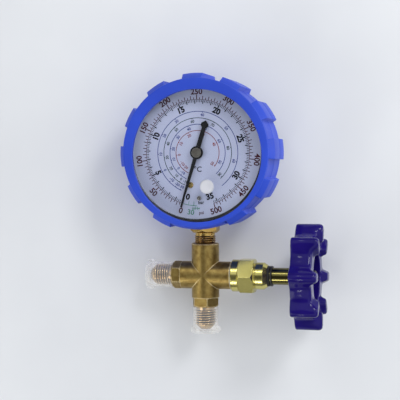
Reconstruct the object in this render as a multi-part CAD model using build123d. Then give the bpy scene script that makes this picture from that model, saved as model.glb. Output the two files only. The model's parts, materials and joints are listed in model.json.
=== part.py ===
"""Refrigerant manifold gauge: a boxed Bourdon gauge on a forged brass cross with a handwheel valve.

The gauge stands above the cross on a threaded socket. Two male flare ports, left and below, carry
push-on caps, and the valve on the right opens the way to the left port. Millimetres, +Z up. The dial
faces -Y, the handwheel is on +X, and the origin is on the lower port's axis at the thread's outer end.
"""
from build123d import *
from math import asin, cos, degrees, pi, radians, sin, sqrt
import os

# --- flare ports: 1/4 in SAE 45 degree flare, 7/16-20 thread ---
thread_r = 5.55            # crest radius of the 7/16-20 thread
thread_length = 9.0        # hex shoulder to the end of the full thread
thread_end_slope = 0.8     # from the last full thread down to the seat's neck
relief_r = 4.85            # undercut between the hex and the thread
relief_width = 1.6
nose_length = 2.5          # how far the flare seat stands past the thread
seat_r = 4.75              # wide end of the 45 degree seat
port_bore_r = 2.4
port_hex = 12.7            # across flats
port_hex_length = 5.2
lower_hex_turn = 40.0      # the forged hexes are a little off square to the dial
left_hex_turn = 33.3

# --- cross body ---
arm_r = 7.25
lower_reach = 16.5         # cross centre to the lower hex shoulder
left_reach = 17.3          # cross centre to the left hex shoulder
upper_reach = 17.0         # cross centre to the top of the upper arm
right_reach = 14.2         # cross centre to the end of the valve arm
chamber_r = 4.6            # valve chamber
chamber_floor = -3.0       # seat plane, measured along +X from the cross centre
seat_lip_r = 3.1           # raised seat around the left port's bore
seat_lip_height = 0.5
body_thread_r = 6.0        # bonnet thread in the valve arm
body_thread_depth = 9.0
arm_chamfer = 0.5

# --- gauge socket ---
socket_thread_r = 5.15     # 1/8-27 pipe thread
socket_engagement = 7.0    # thread inside the upper arm
neck_length = 5.5          # thread in view above the arm
socket_hex = 14.0
socket_hex_length = 6.0
socket_hex_chamfer = 1.5
socket_neck_r = 6.4        # round that passes the case wall
block_half_width = 8.0
block_height = 12.4
block_clearance = 2.6      # outside of the case to the block's foot
block_front = 5.0          # face that carries the movement, in front of the stem axis
socket_bore_r = 1.6
restrictor_length = 3.0
case_screw_r = 1.5
case_screw_length = 4.5
case_screw_head_r = 2.6
case_screw_head_height = 1.3
movement_screw_r = 1.1
movement_screw_length = 4.0
restrictor_hole_r = 0.4

# --- case, lens and boot, depths in front of the stem axis ---
case_r = 36.0
case_wall = 0.8
case_back = -13.0
case_front = 18.0
case_round = 2.4
gasket_thickness = 0.5
lens_thickness = 1.6
lens_skirt_depth = 1.6
lens_skirt_wall = 1.0
boot_wall = 2.1
boot_lip = 1.9             # thickness of the lip over the lens
boot_lip_cover = 2.2       # how far the lip reaches over the lens
boot_opening_shift = (0.65, -1.6)
boot_back_cover = 4.6      # how far the boot's back reaches over the case's back
boot_back_wall = 2.0
boot_back_round = 2.6
lug_count = 12
lug_height = 2.7
lug_angle = 15.5
lug_first = 2.3            # turn of the first lug from 3 o'clock
lug_back_inset = 4.0       # boot back to the lugs
lug_front_slope = 4.2      # depth of the slope at the front of a lug
lug_round = 0.7

# --- dial, pointer and plug ---
dial_front = 15.0
dial_thickness = 0.8
dial_clearance = 0.6       # case wall to the dial's edge
dial_hole_r = 2.2
dial_screw_at = (-3.8, -16.6)
calibration_screw_at = (0.8, -23.4)
dial_screw_head_r = 1.55
calibration_screw_head_r = 1.15
screw_head_height = 0.7
screw_slot = 0.35
bracket_thickness = 1.0
bracket_half_width = 5.5
bracket_top = 6.5
bracket_bottom = -26.5
pointer_zero = -107.0      # direction of the zero mark from 3 o'clock
pointer_lift = 1.5         # pointer above the dial
pointer_thickness = 0.45
pointer_reach = 29.2
pointer_root_width = 2.1
pointer_tip_width = 0.8
tail_reach = 17.2
tail_width = 2.5
arrow_width = 3.9
arrow_length = 4.0
pointer_hub_r = 3.35
pointer_hub_height = 0.9
hub_cap_r = 2.5
hub_cap_height = 0.4
plug_at = (6.0, -17.4)
plug_head_r = 3.6
plug_head_height = 1.1
plug_shank_r = 2.6
plug_shank_length = 2.6

# --- movement, depths in front of the stem axis ---
plate_thickness = 1.0
plate_half_width = 11.5
plate_top = 7.5
plate_gap = 5.0            # between the two plates
pillar_r = 1.7
upper_pillar_at = (8.8, 4.6)
lower_pillar_at = (9.3, -23.4)
pillar_screw_r = 1.0
pillar_screw_head_r = 1.5
pillar_screw_grip = 2.5    # thread inside a pillar
gear_module = 0.4
pinion_teeth = 8
wheel_teeth = 72           # teeth that the sector's full circle would have
sector_teeth = 11
sector_thickness = 1.0
sector_lift = 1.4          # back plate to the sector
sector_arm_width = 4.2
tail_length = 9.0          # sector arbor to the link's pin
tail_turn = 2.0            # direction of the tail from 3 o'clock
arbor_r = 0.9
sector_arbor_r = 1.0
link_width = 2.6
link_thickness = 0.8
link_pin_r = 0.6
hairspring_turns = 4
hairspring_inner_r = 1.9
hairspring_pitch = 0.75
hairspring_strip = 0.22
hairspring_height = 0.6
tube_margin = 10.0         # outside of the case to the centre line of the Bourdon tube
tube_width = 8.0
tube_depth = 2.6
tube_wall = 0.4
tube_start = 257.0         # direction of the brazed end
tube_sweep = 268.0
tip_length = 4.0
tip_lug_r = 1.7
tip_clearance = 0.3        # link eye in front of the tip's pivot

# --- valve, lengths along +X from the cross centre ---
collar_r = 8.4
collar_length = 4.0
seal_washer = 0.5
bonnet_hex = 17.0
bonnet_hex_length = 8.1
bonnet_hex_chamfer = 1.0
bonnet_groove_r = 6.7
bonnet_groove = 0.6
bonnet_round_r = 7.05
bonnet_round_length = 4.3
bonnet_cone_length = 2.0
bonnet_end_r = 5.7
stem_r = 4.45
stem_thread_r = 3.9
stem_thread_length = 11.0
stem_travel = 3.0          # how far the stem backs out when the valve is open
stem_holder_r = 3.7
stem_holder_length = 4.0
seat_disc_thickness = 1.8
seat_disc_boss_r = 1.5
seat_disc_boss_length = 2.4
o_ring_r = 0.55
o_ring_spacing = 3.2
dust_washer_width = 1.1
dust_washer_r = 5.3
snap_ring_width = 0.9
snap_ring_r = 5.3
snap_ring_groove = 0.6
snap_ring_gap = 0.5        # dust washer to snap ring with the valve shut
stem_reach = 49.4          # seat end of the stem's body to the shoulder under the handwheel
square_width = 6.3

# --- handwheel ---
wheel_seat = 1.0           # how far the stem's shoulder stands inside the wheel's back
square_setback = 0.2       # hub face to the square's end, so that the screw clamps the wheel
wheel_core_r = 22.2
wheel_core_length = 11.0
wheel_r = 27.4
lobe_count = 8
lobe_length = 14.2
lobe_width = 6.6
lobe_root_r = 17.2
lobe_blend = 3.6           # concave blend between a lobe and the core
wheel_edge_round = 2.2
wheel_back_round = 1.0
recess_r = 13.2
recess_depth = 6.4
hub_r = 6.2
hub_height = 3.2
wheel_washer_r = 4.6
wheel_washer_thickness = 0.8
wheel_screw_head_r = 3.4
wheel_screw_head_height = 2.3
wheel_screw_r = 1.95
wheel_screw_length = 6.0

# --- push-on caps ---
cap_bore_r = 6.15
cap_wall = 0.45
cap_bead_r = 5.85
cap_bead_width = 1.1
cap_mouth_gap = 0.3        # hex shoulder to the cap's mouth
cap_end_room = 0.5         # flare nose to the inside of the cap's end
cap_end_wall = 1.0
cap_flange_r = 7.85
cap_flange_length = 2.6
cap_flange_taper = 1.1

# --- fits ---
fixed_fit = 0.02           # between pieces that are pressed, screwed or brazed together
running_fit = 0.05         # between a shaft and its bearing
loose_fit = 0.3            # between pieces that only pass each other

# --- places that follow from the sizes ---
cross_z = thread_length + lower_reach
gauge_z = cross_z + upper_reach + neck_length + socket_hex_length + case_r
block_bottom = block_clearance - case_r
block_top = block_bottom + block_height
tube_r = case_r - tube_margin
dial_r = case_r - case_wall - dial_clearance
boot_opening_r = case_r - boot_lip_cover
boot_back_opening_r = case_r - boot_back_cover
lens_back = case_front + gasket_thickness
lens_front = lens_back + lens_thickness
boot_r = case_r + boot_wall
boot_back = case_back - boot_back_wall
boot_front = lens_front + boot_lip
dial_back = dial_front - dial_thickness
bracket_back = dial_back - bracket_thickness
front_plate_back = block_front + plate_thickness + plate_gap
front_plate_front = front_plate_back + plate_thickness
pinion_r = gear_module * pinion_teeth / 2
sector_r = gear_module * wheel_teeth / 2
sector_at = (0, -pinion_r - sector_r)
sector_back = block_front + plate_thickness + sector_lift
sector_front = sector_back + sector_thickness
link_back = sector_front + 0.1
link_front = link_back + link_thickness
link_pin_at = (
    sector_at[0] + tail_length * cos(radians(tail_turn)),
    sector_at[1] + tail_length * sin(radians(tail_turn)),
)
tip_angle = tube_start - tube_sweep
tip_at = (tube_r * cos(radians(tip_angle - 5)), tube_r * sin(radians(tip_angle - 5)))
pointer_back = dial_front + pointer_lift
collar_start = right_reach + seal_washer
hex_start = collar_start + collar_length
groove_start = hex_start + bonnet_hex_length
round_start = groove_start + bonnet_groove
cone_start = round_start + bonnet_round_length
bonnet_end = cone_start + bonnet_cone_length
seat_face = chamber_floor + seat_lip_height
stem_start = seat_face + seat_disc_thickness
stem_shoulder = stem_start + stem_reach + seat_lip_height
wheel_back = stem_shoulder - wheel_seat
wheel_face = wheel_back + wheel_core_length
hub_face = wheel_face - recess_depth + hub_height
square_end = hub_face - square_setback

# --- local frames: z runs out of the dial, along the valve, and out of each port ---
dial_frame = Plane(origin=(0, 0, gauge_z), x_dir=(1, 0, 0), z_dir=(0, -1, 0))
valve_frame = Plane(origin=(0, 0, cross_z), x_dir=(0, -1, 0), z_dir=(1, 0, 0))
left_frame = Plane(origin=(-left_reach, 0, cross_z), x_dir=(0, -1, 0), z_dir=(-1, 0, 0))
lower_frame = Plane(origin=(0, 0, thread_length), x_dir=(0, -1, 0), z_dir=(0, 0, -1))


def turned(*corners, arc=360):
    """Solid of revolution about Z from (radius, height) corners."""
    return revolve(make_face(Plane.XZ * Polyline(*corners, close=True)), Axis.Z, revolution_arc=arc)


def tube(outer_r, inner_r, start, end):
    """Straight ring or, with no inner radius, a disc, from one height to another."""
    ring = Circle(outer_r)
    if inner_r:
        ring -= Circle(inner_r)
    return Pos(0, 0, start) * extrude(ring, end - start)


def slab(shape, start, end):
    """Flat outline raised from one height to another."""
    return Pos(0, 0, start) * extrude(shape, end - start)


def hexagon(across_flats, start, end, chamfer_length=0, turn=0):
    """Hexagonal prism whose corners are turned down at both ends."""
    corner_r = across_flats / sqrt(3)
    prism = slab(Rot(0, 0, turn) * RegularPolygon(corner_r, 6), start, end)
    if not chamfer_length:
        return prism
    end_r = corner_r - chamfer_length * 1.2
    envelope = turned(
        (0, start), (end_r, start), (corner_r, start + chamfer_length),
        (corner_r, end - chamfer_length), (end_r, end), (0, end),
    )
    return prism & envelope


def slotted_screw(head_r, head_height, shank_r, shank_length, slot, dome=0.25):
    """Screw with a domed, slotted head that sits on height zero, shank downwards."""
    head = turned(
        (0, 0), (head_r, 0), (head_r, head_height - dome), (head_r - dome, head_height), (0, head_height)
    )
    shank = tube(shank_r, 0, -shank_length, 0)
    cut = Pos(0, 0, head_height) * Box(3 * head_r, slot, head_height)
    return head + shank - cut


# --- cross body and ports ---
def flare_stub():
    """Threaded end outside a port's shoulder, with its undercut and 45 degree seat."""
    neck_start = thread_length + thread_end_slope
    nose_end = neck_start + nose_length
    seat_start = nose_end - (seat_r - port_bore_r)
    return turned(
        (0, -1), (relief_r, -1), (relief_r, relief_width - 0.4), (thread_r, relief_width + 0.3),
        (thread_r, thread_length), (seat_r, neck_start), (seat_r, seat_start),
        (port_bore_r + 0.35, nose_end - 0.35), (0, nose_end - 0.35),
    )


def port_arm(reach, turn):
    """Round arm, hex and flare stub along z, measured from the port's shoulder."""
    arm = tube(arm_r, 0, -reach, -port_hex_length + 0.4)
    flats = hexagon(port_hex, -port_hex_length, 0, 0.8, turn)
    return arm + flats + flare_stub()


def make_cross_body():
    """Forged cross: two flare ports, the gauge arm and the valve arm with its seat."""
    forging = left_frame.location * port_arm(left_reach, left_hex_turn)
    forging += lower_frame.location * port_arm(lower_reach, lower_hex_turn)
    upper = turned(
        (0, 0), (arm_r, 0), (arm_r, upper_reach - arm_chamfer), (arm_r - arm_chamfer, upper_reach),
        (0, upper_reach),
    )
    forging += Pos(0, 0, cross_z) * upper
    forging += valve_frame.location * tube(arm_r, 0, 0, right_reach)
    socket_hole = turned(
        (0, -lower_reach - 2 * thread_length), (port_bore_r, -lower_reach - 2 * thread_length),
        (port_bore_r, upper_reach - socket_engagement - 2), (socket_thread_r + fixed_fit,
        upper_reach - socket_engagement - 0.3), (socket_thread_r + fixed_fit, upper_reach + 1),
        (0, upper_reach + 1),
    )
    valve_hole = turned(
        (0, chamber_floor), (seat_lip_r, chamber_floor + seat_lip_height),
        (seat_lip_r, chamber_floor), (chamber_r, chamber_floor),
        (chamber_r, right_reach - body_thread_depth), (body_thread_r + fixed_fit,
        right_reach - body_thread_depth), (body_thread_r + fixed_fit, right_reach + 1), (0, right_reach + 1),
    )
    return forging - Pos(0, 0, cross_z) * socket_hole - valve_frame.location * valve_hole


def make_cap():
    """Push-on port cap, mouth near the shoulder, with its gripping bead and wide end."""
    mouth = cap_mouth_gap
    inner_end = thread_length + thread_end_slope + nose_length + cap_end_room
    outer_end = inner_end + cap_end_wall
    skin_r = cap_bore_r + cap_wall
    flange_start = outer_end - cap_flange_length
    return turned(
        (0, inner_end), (cap_bore_r - 0.6, inner_end), (cap_bore_r, inner_end - 0.8),
        (cap_bore_r, mouth + cap_bead_width + 0.3), (cap_bead_r, mouth + cap_bead_width),
        (cap_bead_r, mouth + 0.3), (cap_bore_r - 0.05, mouth), (skin_r, mouth),
        (skin_r, flange_start - cap_flange_taper), (cap_flange_r, flange_start),
        (cap_flange_r, outer_end - 0.5), (cap_flange_r - 0.5, outer_end), (0, outer_end),
    )


# --- gauge: everything in the dial's frame ---
def make_socket():
    """Brass socket: thread, hex, neck and the block that carries the movement and the tube."""
    thread_end = -case_r - socket_hex_length - neck_length - socket_engagement
    hex_bottom = -case_r - socket_hex_length
    block = Pos(0, (block_top + block_bottom) / 2, (block_front + case_back + case_wall) / 2) * Box(
        2 * block_half_width, block_top - block_bottom, block_front - case_back - case_wall
    )
    corner = block.edges().filter_by(Axis.X).sort_by(lambda edge: edge.center().Y + edge.center().Z)[0]
    block = chamfer(corner, case_round + 0.4)
    stalk = turned(
        (0, thread_end), (socket_thread_r - 0.5, thread_end), (socket_thread_r, thread_end + 0.6),
        (socket_thread_r, hex_bottom + 0.5), (0, hex_bottom + 0.5),
    )
    flats = hexagon(socket_hex, hex_bottom, -case_r, socket_hex_chamfer, 30)
    flats += tube(socket_neck_r, 0, -case_r - 0.5, block_bottom + 0.5)
    bore = tube(socket_bore_r, 0, thread_end - 1, block_bottom + (block_top - block_bottom) / 2 + 1)
    bore += tube(socket_bore_r + 0.6, 0, thread_end - 1, thread_end + restrictor_length)
    upright = Rot(-90, 0, 0)
    socket = block + upright * stalk + upright * flats - upright * bore
    for x, y in movement_screw_places():
        hole_end = block_front - movement_screw_length + plate_thickness - 0.5
        socket -= Pos(x, y, 0) * tube(movement_screw_r + fixed_fit, 0, hole_end, block_front + 1)
    for x, y in case_screw_places():
        hole_end = case_back + case_screw_length + 0.5
        socket -= Pos(x, y, 0) * tube(case_screw_r + fixed_fit, 0, case_back, hole_end)
    return socket - bourdon_sweep(fixed_fit, 0)


def make_restrictor():
    """Small drilled plug that damps pressure pulses, screwed into the socket's foot."""
    foot = -case_r - socket_hex_length - neck_length - socket_engagement
    plug = tube(socket_bore_r + 0.6 - fixed_fit, restrictor_hole_r, foot + 0.2, foot + restrictor_length)
    return Rot(-90, 0, 0) * plug


def bourdon_sweep(growth, bore_wall):
    """C-shaped sweep of the tube's flattened section; bore_wall leaves it hollow."""
    section = SlotOverall(tube_width + 2 * growth, tube_depth + 2 * growth, rotation=90)
    if bore_wall:
        section -= SlotOverall(tube_width - 2 * bore_wall, tube_depth - 2 * bore_wall, rotation=90)
    placed = Plane.XZ * Pos(tube_r, 0, 0) * section
    return Rot(0, 0, tip_angle) * revolve(placed, Axis.Z, revolution_arc=tube_sweep)


def make_tube_tip():
    """Plug that closes the tube's free end, with the lug and pivot for the link."""
    swing = degrees(tip_length / tube_r)
    plug = Plane.XZ * Pos(tube_r, 0, 0) * SlotOverall(tube_width + 1, tube_depth + 1, rotation=90)
    body = Rot(0, 0, tip_angle - swing) * revolve(plug, Axis.Z, revolution_arc=swing)
    lug = Pos(*tip_at, 0) * tube(tip_lug_r, 0, 0, link_back - tip_clearance)
    return body + lug


def make_case():
    """Round steel cup, open at the dial, with holes for the socket and its screws."""
    inner_r = case_r - case_wall
    floor = case_back + case_wall
    cup = turned(
        (0, case_back), (case_r - case_round, case_back), (case_r, case_back + case_round),
        (case_r, case_front), (inner_r, case_front), (inner_r, floor + case_round),
        (inner_r - case_round, floor), (0, floor),
    )
    socket_hole = Rot(90, 0, 0) * tube(socket_neck_r + fixed_fit, 0, block_half_width, case_r + 1)
    for x, y in case_screw_places():
        cup -= Pos(x, y, 0) * tube(case_screw_r + fixed_fit, 0, case_back - 1, floor + 1)
    return cup - socket_hole


def case_screw_places():
    middle = (block_top + block_bottom) / 2
    return [(-block_half_width / 2, middle), (block_half_width / 2, middle)]


def make_case_screws():
    """Two screws through the case's back into the socket block."""
    screw = slotted_screw(
        case_screw_head_r, case_screw_head_height, case_screw_r, case_screw_length, 0.6
    )
    return [Pos(x, y, case_back) * Rot(180, 0, 0) * screw for x, y in case_screw_places()]


def make_lens():
    """Clear lens with a skirt inside the case and a hole for the plug."""
    skirt_r = case_r - case_wall - 0.1
    lens = turned(
        (0, lens_back), (skirt_r - lens_skirt_wall, lens_back), (skirt_r - lens_skirt_wall,
        lens_back - lens_skirt_depth - gasket_thickness), (skirt_r, lens_back - lens_skirt_depth
        - gasket_thickness), (skirt_r, lens_back), (case_r, lens_back), (case_r, lens_front), (0, lens_front),
    )
    return lens - Pos(*plug_at, 0) * tube(plug_shank_r + running_fit, 0, lens_back - 1, lens_front + 1)


def make_lens_gasket():
    """Thin rubber ring between the case's edge and the lens."""
    return tube(case_r - 0.05, case_r - case_wall, case_front, lens_back)


def make_plug():
    """Round push-in plug over the adjuster's access hole, its snap collar inside the lens."""
    collar = lens_thickness + 0.15
    return Pos(*plug_at, lens_front) * turned(
        (0, -plug_shank_length), (plug_shank_r - 0.4, -plug_shank_length), (plug_shank_r,
        -collar), (plug_shank_r, 0), (plug_head_r, 0), (plug_head_r, plug_head_height - 0.5),
        (plug_head_r - 0.5, plug_head_height), (0, plug_head_height),
    )


def make_boot():
    """Rubber boot: a lipped shell round the case with stepped lugs for grip."""
    inner_r = case_r + fixed_fit
    shell = turned(
        (boot_back_opening_r, boot_back), (boot_r - boot_back_round, boot_back),
        (boot_r, boot_back + boot_back_round), (boot_r, boot_front - 0.5), (boot_r - 0.5, boot_front),
        (0, boot_front), (0, lens_front), (inner_r, lens_front), (inner_r, case_back + case_round),
        (inner_r - case_round, case_back), (boot_back_opening_r, case_back),
    )
    shell -= Pos(*boot_opening_shift, 0) * turned(
        (0, lens_front - 1), (boot_opening_r, lens_front - 1), (boot_opening_r, boot_front - 0.4),
        (boot_opening_r + 0.4, boot_front), (boot_opening_r + 0.4, boot_front + 1), (0, boot_front + 1),
    )
    lug_r = boot_r + lug_height
    lug_start = boot_back + lug_back_inset
    lug = turned(
        (boot_r - 1, lug_start), (boot_r + 0.4, lug_start), (lug_r, lug_start + 2.4),
        (lug_r, boot_front - lug_front_slope), (boot_r, boot_front - 0.5), (boot_r - 1, boot_front - 0.5),
        arc=lug_angle,
    )
    outer_sides = lug.edges().filter_by(Axis.Z).sort_by(lambda edge: edge.center().X**2 + edge.center().Y**2)
    lug = fillet(outer_sides[-2:], lug_round)
    for index in range(lug_count):
        shell += Rot(0, 0, lug_first - lug_angle / 2 + index * 360 / lug_count) * lug
    socket_hole = tube(socket_hex / sqrt(3) + loose_fit, 0, boot_back_opening_r, boot_r + lug_height + 1)
    return shell - Rot(90, 0, 0) * socket_hole


def make_dial_plate():
    """Dial disc with holes for the arbor, its screw and the adjuster."""
    dial = tube(dial_r, dial_hole_r, dial_back, dial_front)
    dial -= Pos(*dial_screw_at, 0) * tube(0.9, 0, dial_back - 1, dial_front + 1)
    return dial - Pos(*calibration_screw_at, 0) * tube(0.7 + loose_fit, 0, dial_back - 1, dial_front + 1)


def make_dial_bracket():
    """Strip behind the dial that carries it, with its posts down to the movement's front plate."""
    middle = (bracket_top + bracket_bottom) / 2
    outline = Pos(0, middle) * RectangleRounded(2 * bracket_half_width, bracket_top - bracket_bottom, 2)
    bracket = slab(outline, bracket_back, dial_back) - tube(dial_hole_r, 0, bracket_back - 1, dial_front)
    for x, y in bracket_post_places():
        bracket += Pos(x, y, 0) * tube(1.4, 0, front_plate_front, bracket_back + 0.2)
    bracket -= Pos(*dial_screw_at, 0) * tube(0.8 + fixed_fit, 0, bracket_back - 1, dial_front)
    return bracket - Pos(*calibration_screw_at, 0) * tube(0.7 + running_fit, 0, bracket_back - 1, dial_front)


def bracket_post_places():
    return [(0, 4.6), (-3.6, lower_pillar_at[1]), (4.2, -12.0)]


def make_dial_screw():
    """Brass screw that holds the dial on its bracket."""
    screw = slotted_screw(dial_screw_head_r, screw_head_height, 0.8, dial_thickness + 1.4, screw_slot)
    return Pos(*dial_screw_at, dial_front) * screw


def make_calibration_screw():
    """Nickel zero adjuster that turns in the bracket."""
    screw = slotted_screw(calibration_screw_head_r, screw_head_height, 0.7, dial_thickness + 1.4, screw_slot)
    return Pos(*calibration_screw_at, dial_front + running_fit) * Rot(0, 0, 35) * screw


# --- movement ---
def toothed_outline(pitch_r, teeth, count, first):
    """Tooth profiles on a pitch circle: straight flanks, thinned for backlash."""
    outline = Sketch()
    pitch = 2 * pi * pitch_r / teeth
    tip = 0.72 * gear_module
    root = 1.15 * gear_module
    for index in range(count):
        tooth = make_face(Polyline(
            (pitch_r - root - 0.3, -0.3 * pitch), (pitch_r - root, -0.3 * pitch), (pitch_r, -0.22 * pitch),
            (pitch_r + tip, -0.09 * pitch), (pitch_r + tip, 0.09 * pitch), (pitch_r, 0.22 * pitch),
            (pitch_r - root, 0.3 * pitch), (pitch_r - root - 0.3, 0.3 * pitch), close=True,
        ))
        outline += Rot(0, 0, first + index * 360 / teeth) * tooth
    return outline


def make_pointer_arbor():
    """Arbor through both plates and the dial, with its pinion cut on it."""
    back = block_front + running_fit
    pinion = toothed_outline(pinion_r, pinion_teeth, pinion_teeth, -90) + Circle(pinion_r - gear_module)
    arbor = tube(arbor_r, 0, back, pointer_back + pointer_hub_height)
    return arbor + slab(pinion, sector_back - 0.4, sector_front + 0.4)


def make_sector_gear():
    """Toothed sector on a hub, with the tail that the link pulls; at zero its last tooth is in mesh."""
    pitch_angle = 360 / wheel_teeth
    first = 90 + pitch_angle / 2 - (sector_teeth - 2) * pitch_angle
    last = first + (sector_teeth - 1) * pitch_angle
    inner_r = sector_r - 1.15 * gear_module
    rim_points = [(0, 0)]
    rim = Circle(inner_r) - Circle(inner_r - 2.2)
    half = (last - first) / 2 + pitch_angle
    middle = (last + first) / 2
    reach = 2 * sector_r
    wedge = make_face(Polyline(
        *rim_points, (reach * cos(radians(middle - half)), reach * sin(radians(middle - half))),
        (reach * cos(radians(middle + half)), reach * sin(radians(middle + half))), close=True,
    ))
    outline = (rim & wedge) + toothed_outline(sector_r, wheel_teeth, sector_teeth, first)
    outline += Circle(2.6)
    for side in (middle - half + 9, middle + half - 9):
        outline += Rot(0, 0, side) * Pos(inner_r / 2, 0) * Rectangle(inner_r - 1.2, 1.6)
    outline += Rot(0, 0, tail_turn) * Pos(tail_length / 2, 0) * SlotOverall(tail_length + 2.8, 2.8)
    outline -= Circle(sector_arbor_r + fixed_fit)
    outline -= Rot(0, 0, tail_turn) * Pos(tail_length, 0) * Circle(link_pin_r)
    return Pos(*sector_at, 0) * slab(outline, sector_back, sector_front)


def make_sector_arbor():
    """Pivot of the sector, running in both plates."""
    back = block_front + plate_thickness / 2
    return Pos(*sector_at, 0) * tube(sector_arbor_r, 0, back, front_plate_front)


def make_link_pin():
    """Rivet at the end of the sector's tail."""
    pin = tube(link_pin_r - fixed_fit, 0, sector_back, link_front + 0.2)
    pin += tube(link_pin_r + 0.4, 0, link_front + 0.1, link_front + 0.5)
    return Pos(*link_pin_at, 0) * pin


def make_link():
    """Flat link from the sector's tail to the pivot on the tube's tip."""
    reach_x = tip_at[0] - link_pin_at[0]
    reach_y = tip_at[1] - link_pin_at[1]
    span = sqrt(reach_x**2 + reach_y**2)
    bar = Pos(span / 2, 0) * SlotOverall(span + link_width, link_width)
    bar -= Circle(link_pin_r + running_fit)
    bar -= Pos(span, 0) * Circle(link_pin_r + running_fit)
    turn = degrees(asin(reach_y / span))
    return Pos(*link_pin_at, 0) * Rot(0, 0, turn) * slab(bar, link_back, link_front)


def plate_outline():
    """Outline shared by the movement's two plates."""
    middle = (plate_top + block_bottom + 4) / 2
    height = plate_top - block_bottom - 4
    return Pos(0, middle) * RectangleRounded(2 * plate_half_width, height, 2.5)


def pillar_places():
    return [(side * x, y) for x, y in (upper_pillar_at, lower_pillar_at) for side in (-1, 1)]


def make_movement_plate(back, arbor_hole, sector_hole, fixed_holes, fixed_r):
    """One plate with its bearing holes and its screw holes."""
    plate = slab(plate_outline(), back, back + plate_thickness)
    plate -= tube(arbor_hole, 0, back - 1, back + plate_thickness + 1)
    plate -= Pos(*sector_at, 0) * tube(sector_hole, 0, back - 1, back + plate_thickness + 1)
    for x, y in fixed_holes:
        plate -= Pos(x, y, 0) * tube(fixed_r, 0, back - 1, back + plate_thickness + 1)
    return plate


def movement_screw_places():
    return [(-block_half_width / 2, block_top - 3.4), (block_half_width / 2, block_top - 3.4)]


def make_movement_screws():
    """Two screws that hold the back plate on the socket block."""
    screw = slotted_screw(1.7, 1.0, movement_screw_r, movement_screw_length, 0.45)
    return [Pos(x, y, block_front + plate_thickness) * screw for x, y in movement_screw_places()]


def make_pillars():
    """Four posts that hold the plates apart."""
    back = block_front + plate_thickness
    post = tube(pillar_r, pillar_screw_r + fixed_fit, back, front_plate_back)
    return [Pos(x, y, 0) * post for x, y in pillar_places()]


def make_pillar_screws():
    """Four screws through the front plate into the posts."""
    screw = slotted_screw(
        pillar_screw_head_r, 0.8, pillar_screw_r, plate_thickness + pillar_screw_grip, 0.4
    )
    return [Pos(x, y, front_plate_front) * screw for x, y in pillar_places()]


def make_hairspring():
    """Flat spiral round the arbor, with the stud that holds its outer end on the front plate."""
    level = front_plate_back - 0.4 - hairspring_height
    outer_r = hairspring_inner_r + hairspring_turns * hairspring_pitch

    def spiral(offset):
        steps = hairspring_turns * 8
        return [
            (
                (hairspring_inner_r + offset + hairspring_pitch * step / 8) * cos(2 * pi * step / 8),
                (hairspring_inner_r + offset + hairspring_pitch * step / 8) * sin(2 * pi * step / 8),
            )
            for step in range(steps + 1)
        ]

    inner, outer = spiral(0), spiral(hairspring_strip)
    ribbon = make_face(
        Spline(*inner) + Line(inner[-1], outer[-1]) + Spline(*outer) + Line(outer[0], inner[0])
    )
    stud = Pos(outer_r + 0.4, 0, 0) * tube(0.55, 0, level, front_plate_back)
    return slab(ribbon, level, level + hairspring_height) + stud


def make_pointer():
    """Black pointer: tapering needle, waisted tail with an arrow-shaped end, and a round hub."""
    needle = make_face(Polyline(
        (0, -pointer_root_width / 2), (pointer_reach, -pointer_tip_width / 2),
        (pointer_reach, pointer_tip_width / 2), (0, pointer_root_width / 2), close=True,
    ))
    neck = tail_reach - arrow_length
    tail = make_face(Polyline(
        (0, -tail_width / 2), (-neck, -tail_width * 0.42), (-neck - arrow_length * 0.25, -arrow_width / 2),
        (-neck - arrow_length * 0.55, -arrow_width / 2), (-tail_reach, 0),
        (-neck - arrow_length * 0.55, arrow_width / 2), (-neck - arrow_length * 0.25, arrow_width / 2),
        (-neck, tail_width * 0.42), (0, tail_width / 2), close=True,
    ))
    blade = slab(needle + tail, pointer_back, pointer_back + pointer_thickness)
    hub = tube(pointer_hub_r, 0, pointer_back, pointer_back + pointer_hub_height)
    bore = tube(arbor_r + fixed_fit, 0, pointer_back - 1, pointer_back + pointer_hub_height + 1)
    return Rot(0, 0, pointer_zero) * (blade + hub - bore)


def make_hub_cap():
    """Bright disc on the pointer's hub."""
    start = pointer_back + pointer_hub_height
    return turned(
        (0, start), (hub_cap_r, start), (hub_cap_r, start + hub_cap_height - 0.15),
        (hub_cap_r - 0.15, start + hub_cap_height), (0, start + hub_cap_height),
    )


# --- valve: everything in the valve's frame ---
def make_bonnet():
    """Turned brass bonnet: thread, collar, hex, groove and tapered end, bored for the stem."""
    blank = turned(
        (0, right_reach - body_thread_depth + 0.5), (body_thread_r, right_reach - body_thread_depth + 0.5),
        (body_thread_r, collar_start), (collar_r - 0.4, collar_start), (collar_r, collar_start + 0.4),
        (collar_r, hex_start - 0.3), (collar_r - 0.3, hex_start), (0, hex_start),
    )
    blank += hexagon(bonnet_hex, hex_start, groove_start, bonnet_hex_chamfer)
    blank += turned(
        (0, groove_start - 0.5), (bonnet_groove_r, groove_start - 0.5), (bonnet_groove_r, round_start),
        (bonnet_round_r - 0.4, round_start), (bonnet_round_r, round_start + 0.4),
        (bonnet_round_r, cone_start), (bonnet_end_r, bonnet_end), (0, bonnet_end),
    )
    thread_room = stem_thread_start() + stem_thread_length + stem_travel + 0.6
    bore = turned(
        (0, 0), (stem_thread_r + running_fit, 0), (stem_thread_r + running_fit, thread_room),
        (stem_r + running_fit, thread_room), (stem_r + running_fit, bonnet_end + 1), (0, bonnet_end + 1),
    )
    return blank - bore


def stem_thread_start():
    return right_reach - body_thread_depth + 0.5


def o_ring_places():
    first = stem_thread_start() + stem_thread_length + stem_travel + 2.4
    return [first, first + o_ring_spacing]


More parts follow.
